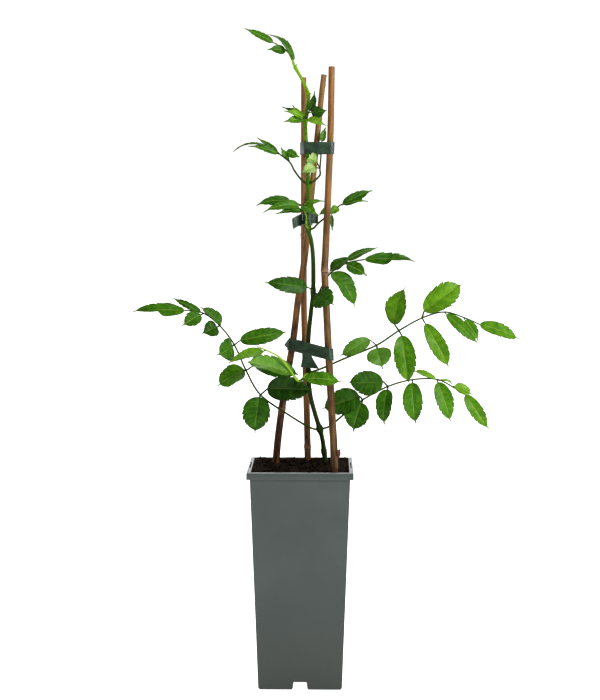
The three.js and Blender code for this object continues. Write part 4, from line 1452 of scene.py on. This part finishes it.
def leaf_blade(
    stalk_point, reach, width, face, arch=0.08, set_off=None, fold=0.22, age=0.5, turned=False
):
    """One leaflet's blade as a grid, with what its skin needs to know noted on it, and its rib."""
    reach = np.array(reach, float)
    set_off = np.array(set_off, float) if set_off else reach / np.linalg.norm(reach) * 3
    start, length, midrib, across, up = blade_frame(stalk_point, reach, face, set_off)
    teeth = int(np.clip(round(length / tooth_spacing), 4, 8))
    columns, rows = 2 * side_columns, tooth_rows * teeth
    blade = strip("blade", columns, rows)
    u = np.tile(np.linspace(-1, 1, columns + 1), rows + 1) * (-1 if turned else 1)
    w = np.repeat(np.linspace(0, 1, rows + 1), columns + 1)
    beside = np.abs(u)
    phase = (w * teeth) % 1
    saw = np.where(phase < 1 / tooth_rows, 1 - 2 * phase * tooth_rows, 2 * phase - 1)
    saw = np.where(phase < 1e-6, 1, np.where(phase < 1 / tooth_rows + 1e-6, -1, saw))
    inside = np.clip(4 * w * (1 - w), 0, 1) ** 0.5
    drip = np.clip(drip_length / length, 0.08, 0.16)
    toothed = np.clip((w - 0.12) / 0.4, 0, 1) * (w < 1 - drip)
    depth = (0.08 + 0.95 / width) * leaf_chance.uniform(0.8, 1.2)
    slant = 0.14 * beside * 4 * w * (1 - w)
    pushed = np.where(saw > 0.5, 0.35, 0) / teeth * beside**6 * inside * toothed
    along = np.clip(w + slant + pushed, 0, 1)
    half = width / 2
    fullest = leaf_chance.uniform(0.45, 0.54) if width > 12 else leaf_chance.uniform(0.36, 0.46)
    slim = np.interp(width / length, [0.25, 0.45], [1.22, 1.08])
    reach_out = outline_at(along, fullest, slim, drip, drip_half / half)
    reach_out = np.maximum(reach_out, 0.25 / half)
    twisted = width > 12 and width / length < 0.3 and abs(midrib[2]) < 0.3
    tilt = half_tilt(along, u * across[2] > 0, twisted)
    out = half * reach_out * (1 + depth * saw * beside**6 * inside * toothed)
    aside = u * out * np.cos(tilt)
    puffed = 0.03 * width * np.sin(math.pi * phase) ** 0.7 * beside**0.6 * (1 - beside**2)
    sunk = -midrib_groove * np.exp(-((aside / groove_spread) ** 2))
    phase_shift = leaf_chance.uniform(0, 6.3)
    wave = 0.1 * half * np.sin(w * 8 + phase_shift + (u > 0) * 2.1) * beside**2 * inside
    curl = -0.05 * length * np.maximum(along - 0.6, 0) ** 2 / 0.16
    bent = arch * length * 4 * along * (1 - along) + beside * out * (fold + np.sin(tilt))
    rise = bent + (puffed + wave) * inside + sunk * inside + curl * (fold < 0.5)
    hooked = leaf_chance.uniform(-1.5, 1.5) * np.clip((along - 1 + 2 * drip) / 2 / drip, 0, 1) ** 2
    points = start + np.outer(along * length, midrib) + np.outer(aside + hooked, across)
    place_vertices(blade, points + np.outer(rise, up))
    spacing = length / teeth
    note(blade, "rib_off", np.abs(aside))
    note(blade, "vein_off", np.minimum(phase, 1 - phase) * spacing * 0.8)
    seed = leaf_chance.uniform(0, 50)
    note(blade, "blade_place", np.column_stack([aside, along * length, 0 * aside + seed]))
    note(blade, "leaf_age", np.full(len(u), age))
    dried_tip = 1.8 * np.clip((along - 1) / drip + 1.2, 0, 1)
    note(blade, "margin", np.maximum(beside**12, dried_tip))
    run = np.linspace(0, 0.97, 9)
    lifted = arch * length * 4 * run * (1 - run) - rib_depth
    spine = start + np.outer(run * length, midrib) + np.outer(lifted, up)
    thin = min(1, 0.4 + width / 40)
    radii = thin * np.interp(np.arange(10), [0, 1, 9], [1.1, 0.9, 0.15])
    rib = rod("rib", np.vstack([[stalk_point], spine]), radii, rib_sides)
    rib_ages = np.repeat([0.4 * age] * 2 + [0.45 + 0.5 * age] * 8, rib_sides)
    note(rib, "leaf_age", rib_ages)
    return blade, rib


# %% Every leaf in turn
leaf_chance = random.Random(11)
for name, (stalk_points, rows) in leaf_table.items():
    stalk_points = np.array(stalk_points, float)
    blades, ribs = [], []
    stalk_age, *ages = leaf_ages[name]
    for place, ((stalk_index, *item), age) in enumerate(zip(rows, ages, strict=True)):
        item += [0.08, None, 0.22][len(item) - 3 :]
        turned = place in backs_in_view.get(name, ())
        blade, rib = leaf_blade(stalk_points[stalk_index], *item, age=age, turned=turned)
        blades.append(blade)
        ribs.append(rib)
    skin = join("skin", blades)
    skin.data.materials.append(leaf_upper)
    skin.data.materials.append(leaf_under)
    apply(
        skin, "SOLIDIFY", thickness=blade_thickness * MM, offset=0, material_offset=1,
        material_offset_rim=0,
    )
    centres = smooth_route(stalk_points, 8)
    foot = 1.5 if name in ("leaf_2_left", "leaf_top") else 1.15
    radii = np.linspace(foot, 0.7, len(centres))
    stalk = rod("stalk", centres, radii, 10)
    note(stalk, "leaf_age", np.full(len(stalk.data.vertices), stalk_age))
    for woody in (stalk, *ribs):
        woody.data.materials.append(leaf_stalk)
    leaf = join(name + "_skin", [skin, stalk, *ribs])
    slot = "young_leaf" if name in ("leaf_2_left", "leaf_5_right", "leaf_6_left") else "leaf"
    hand_over(leaf, slot, name)
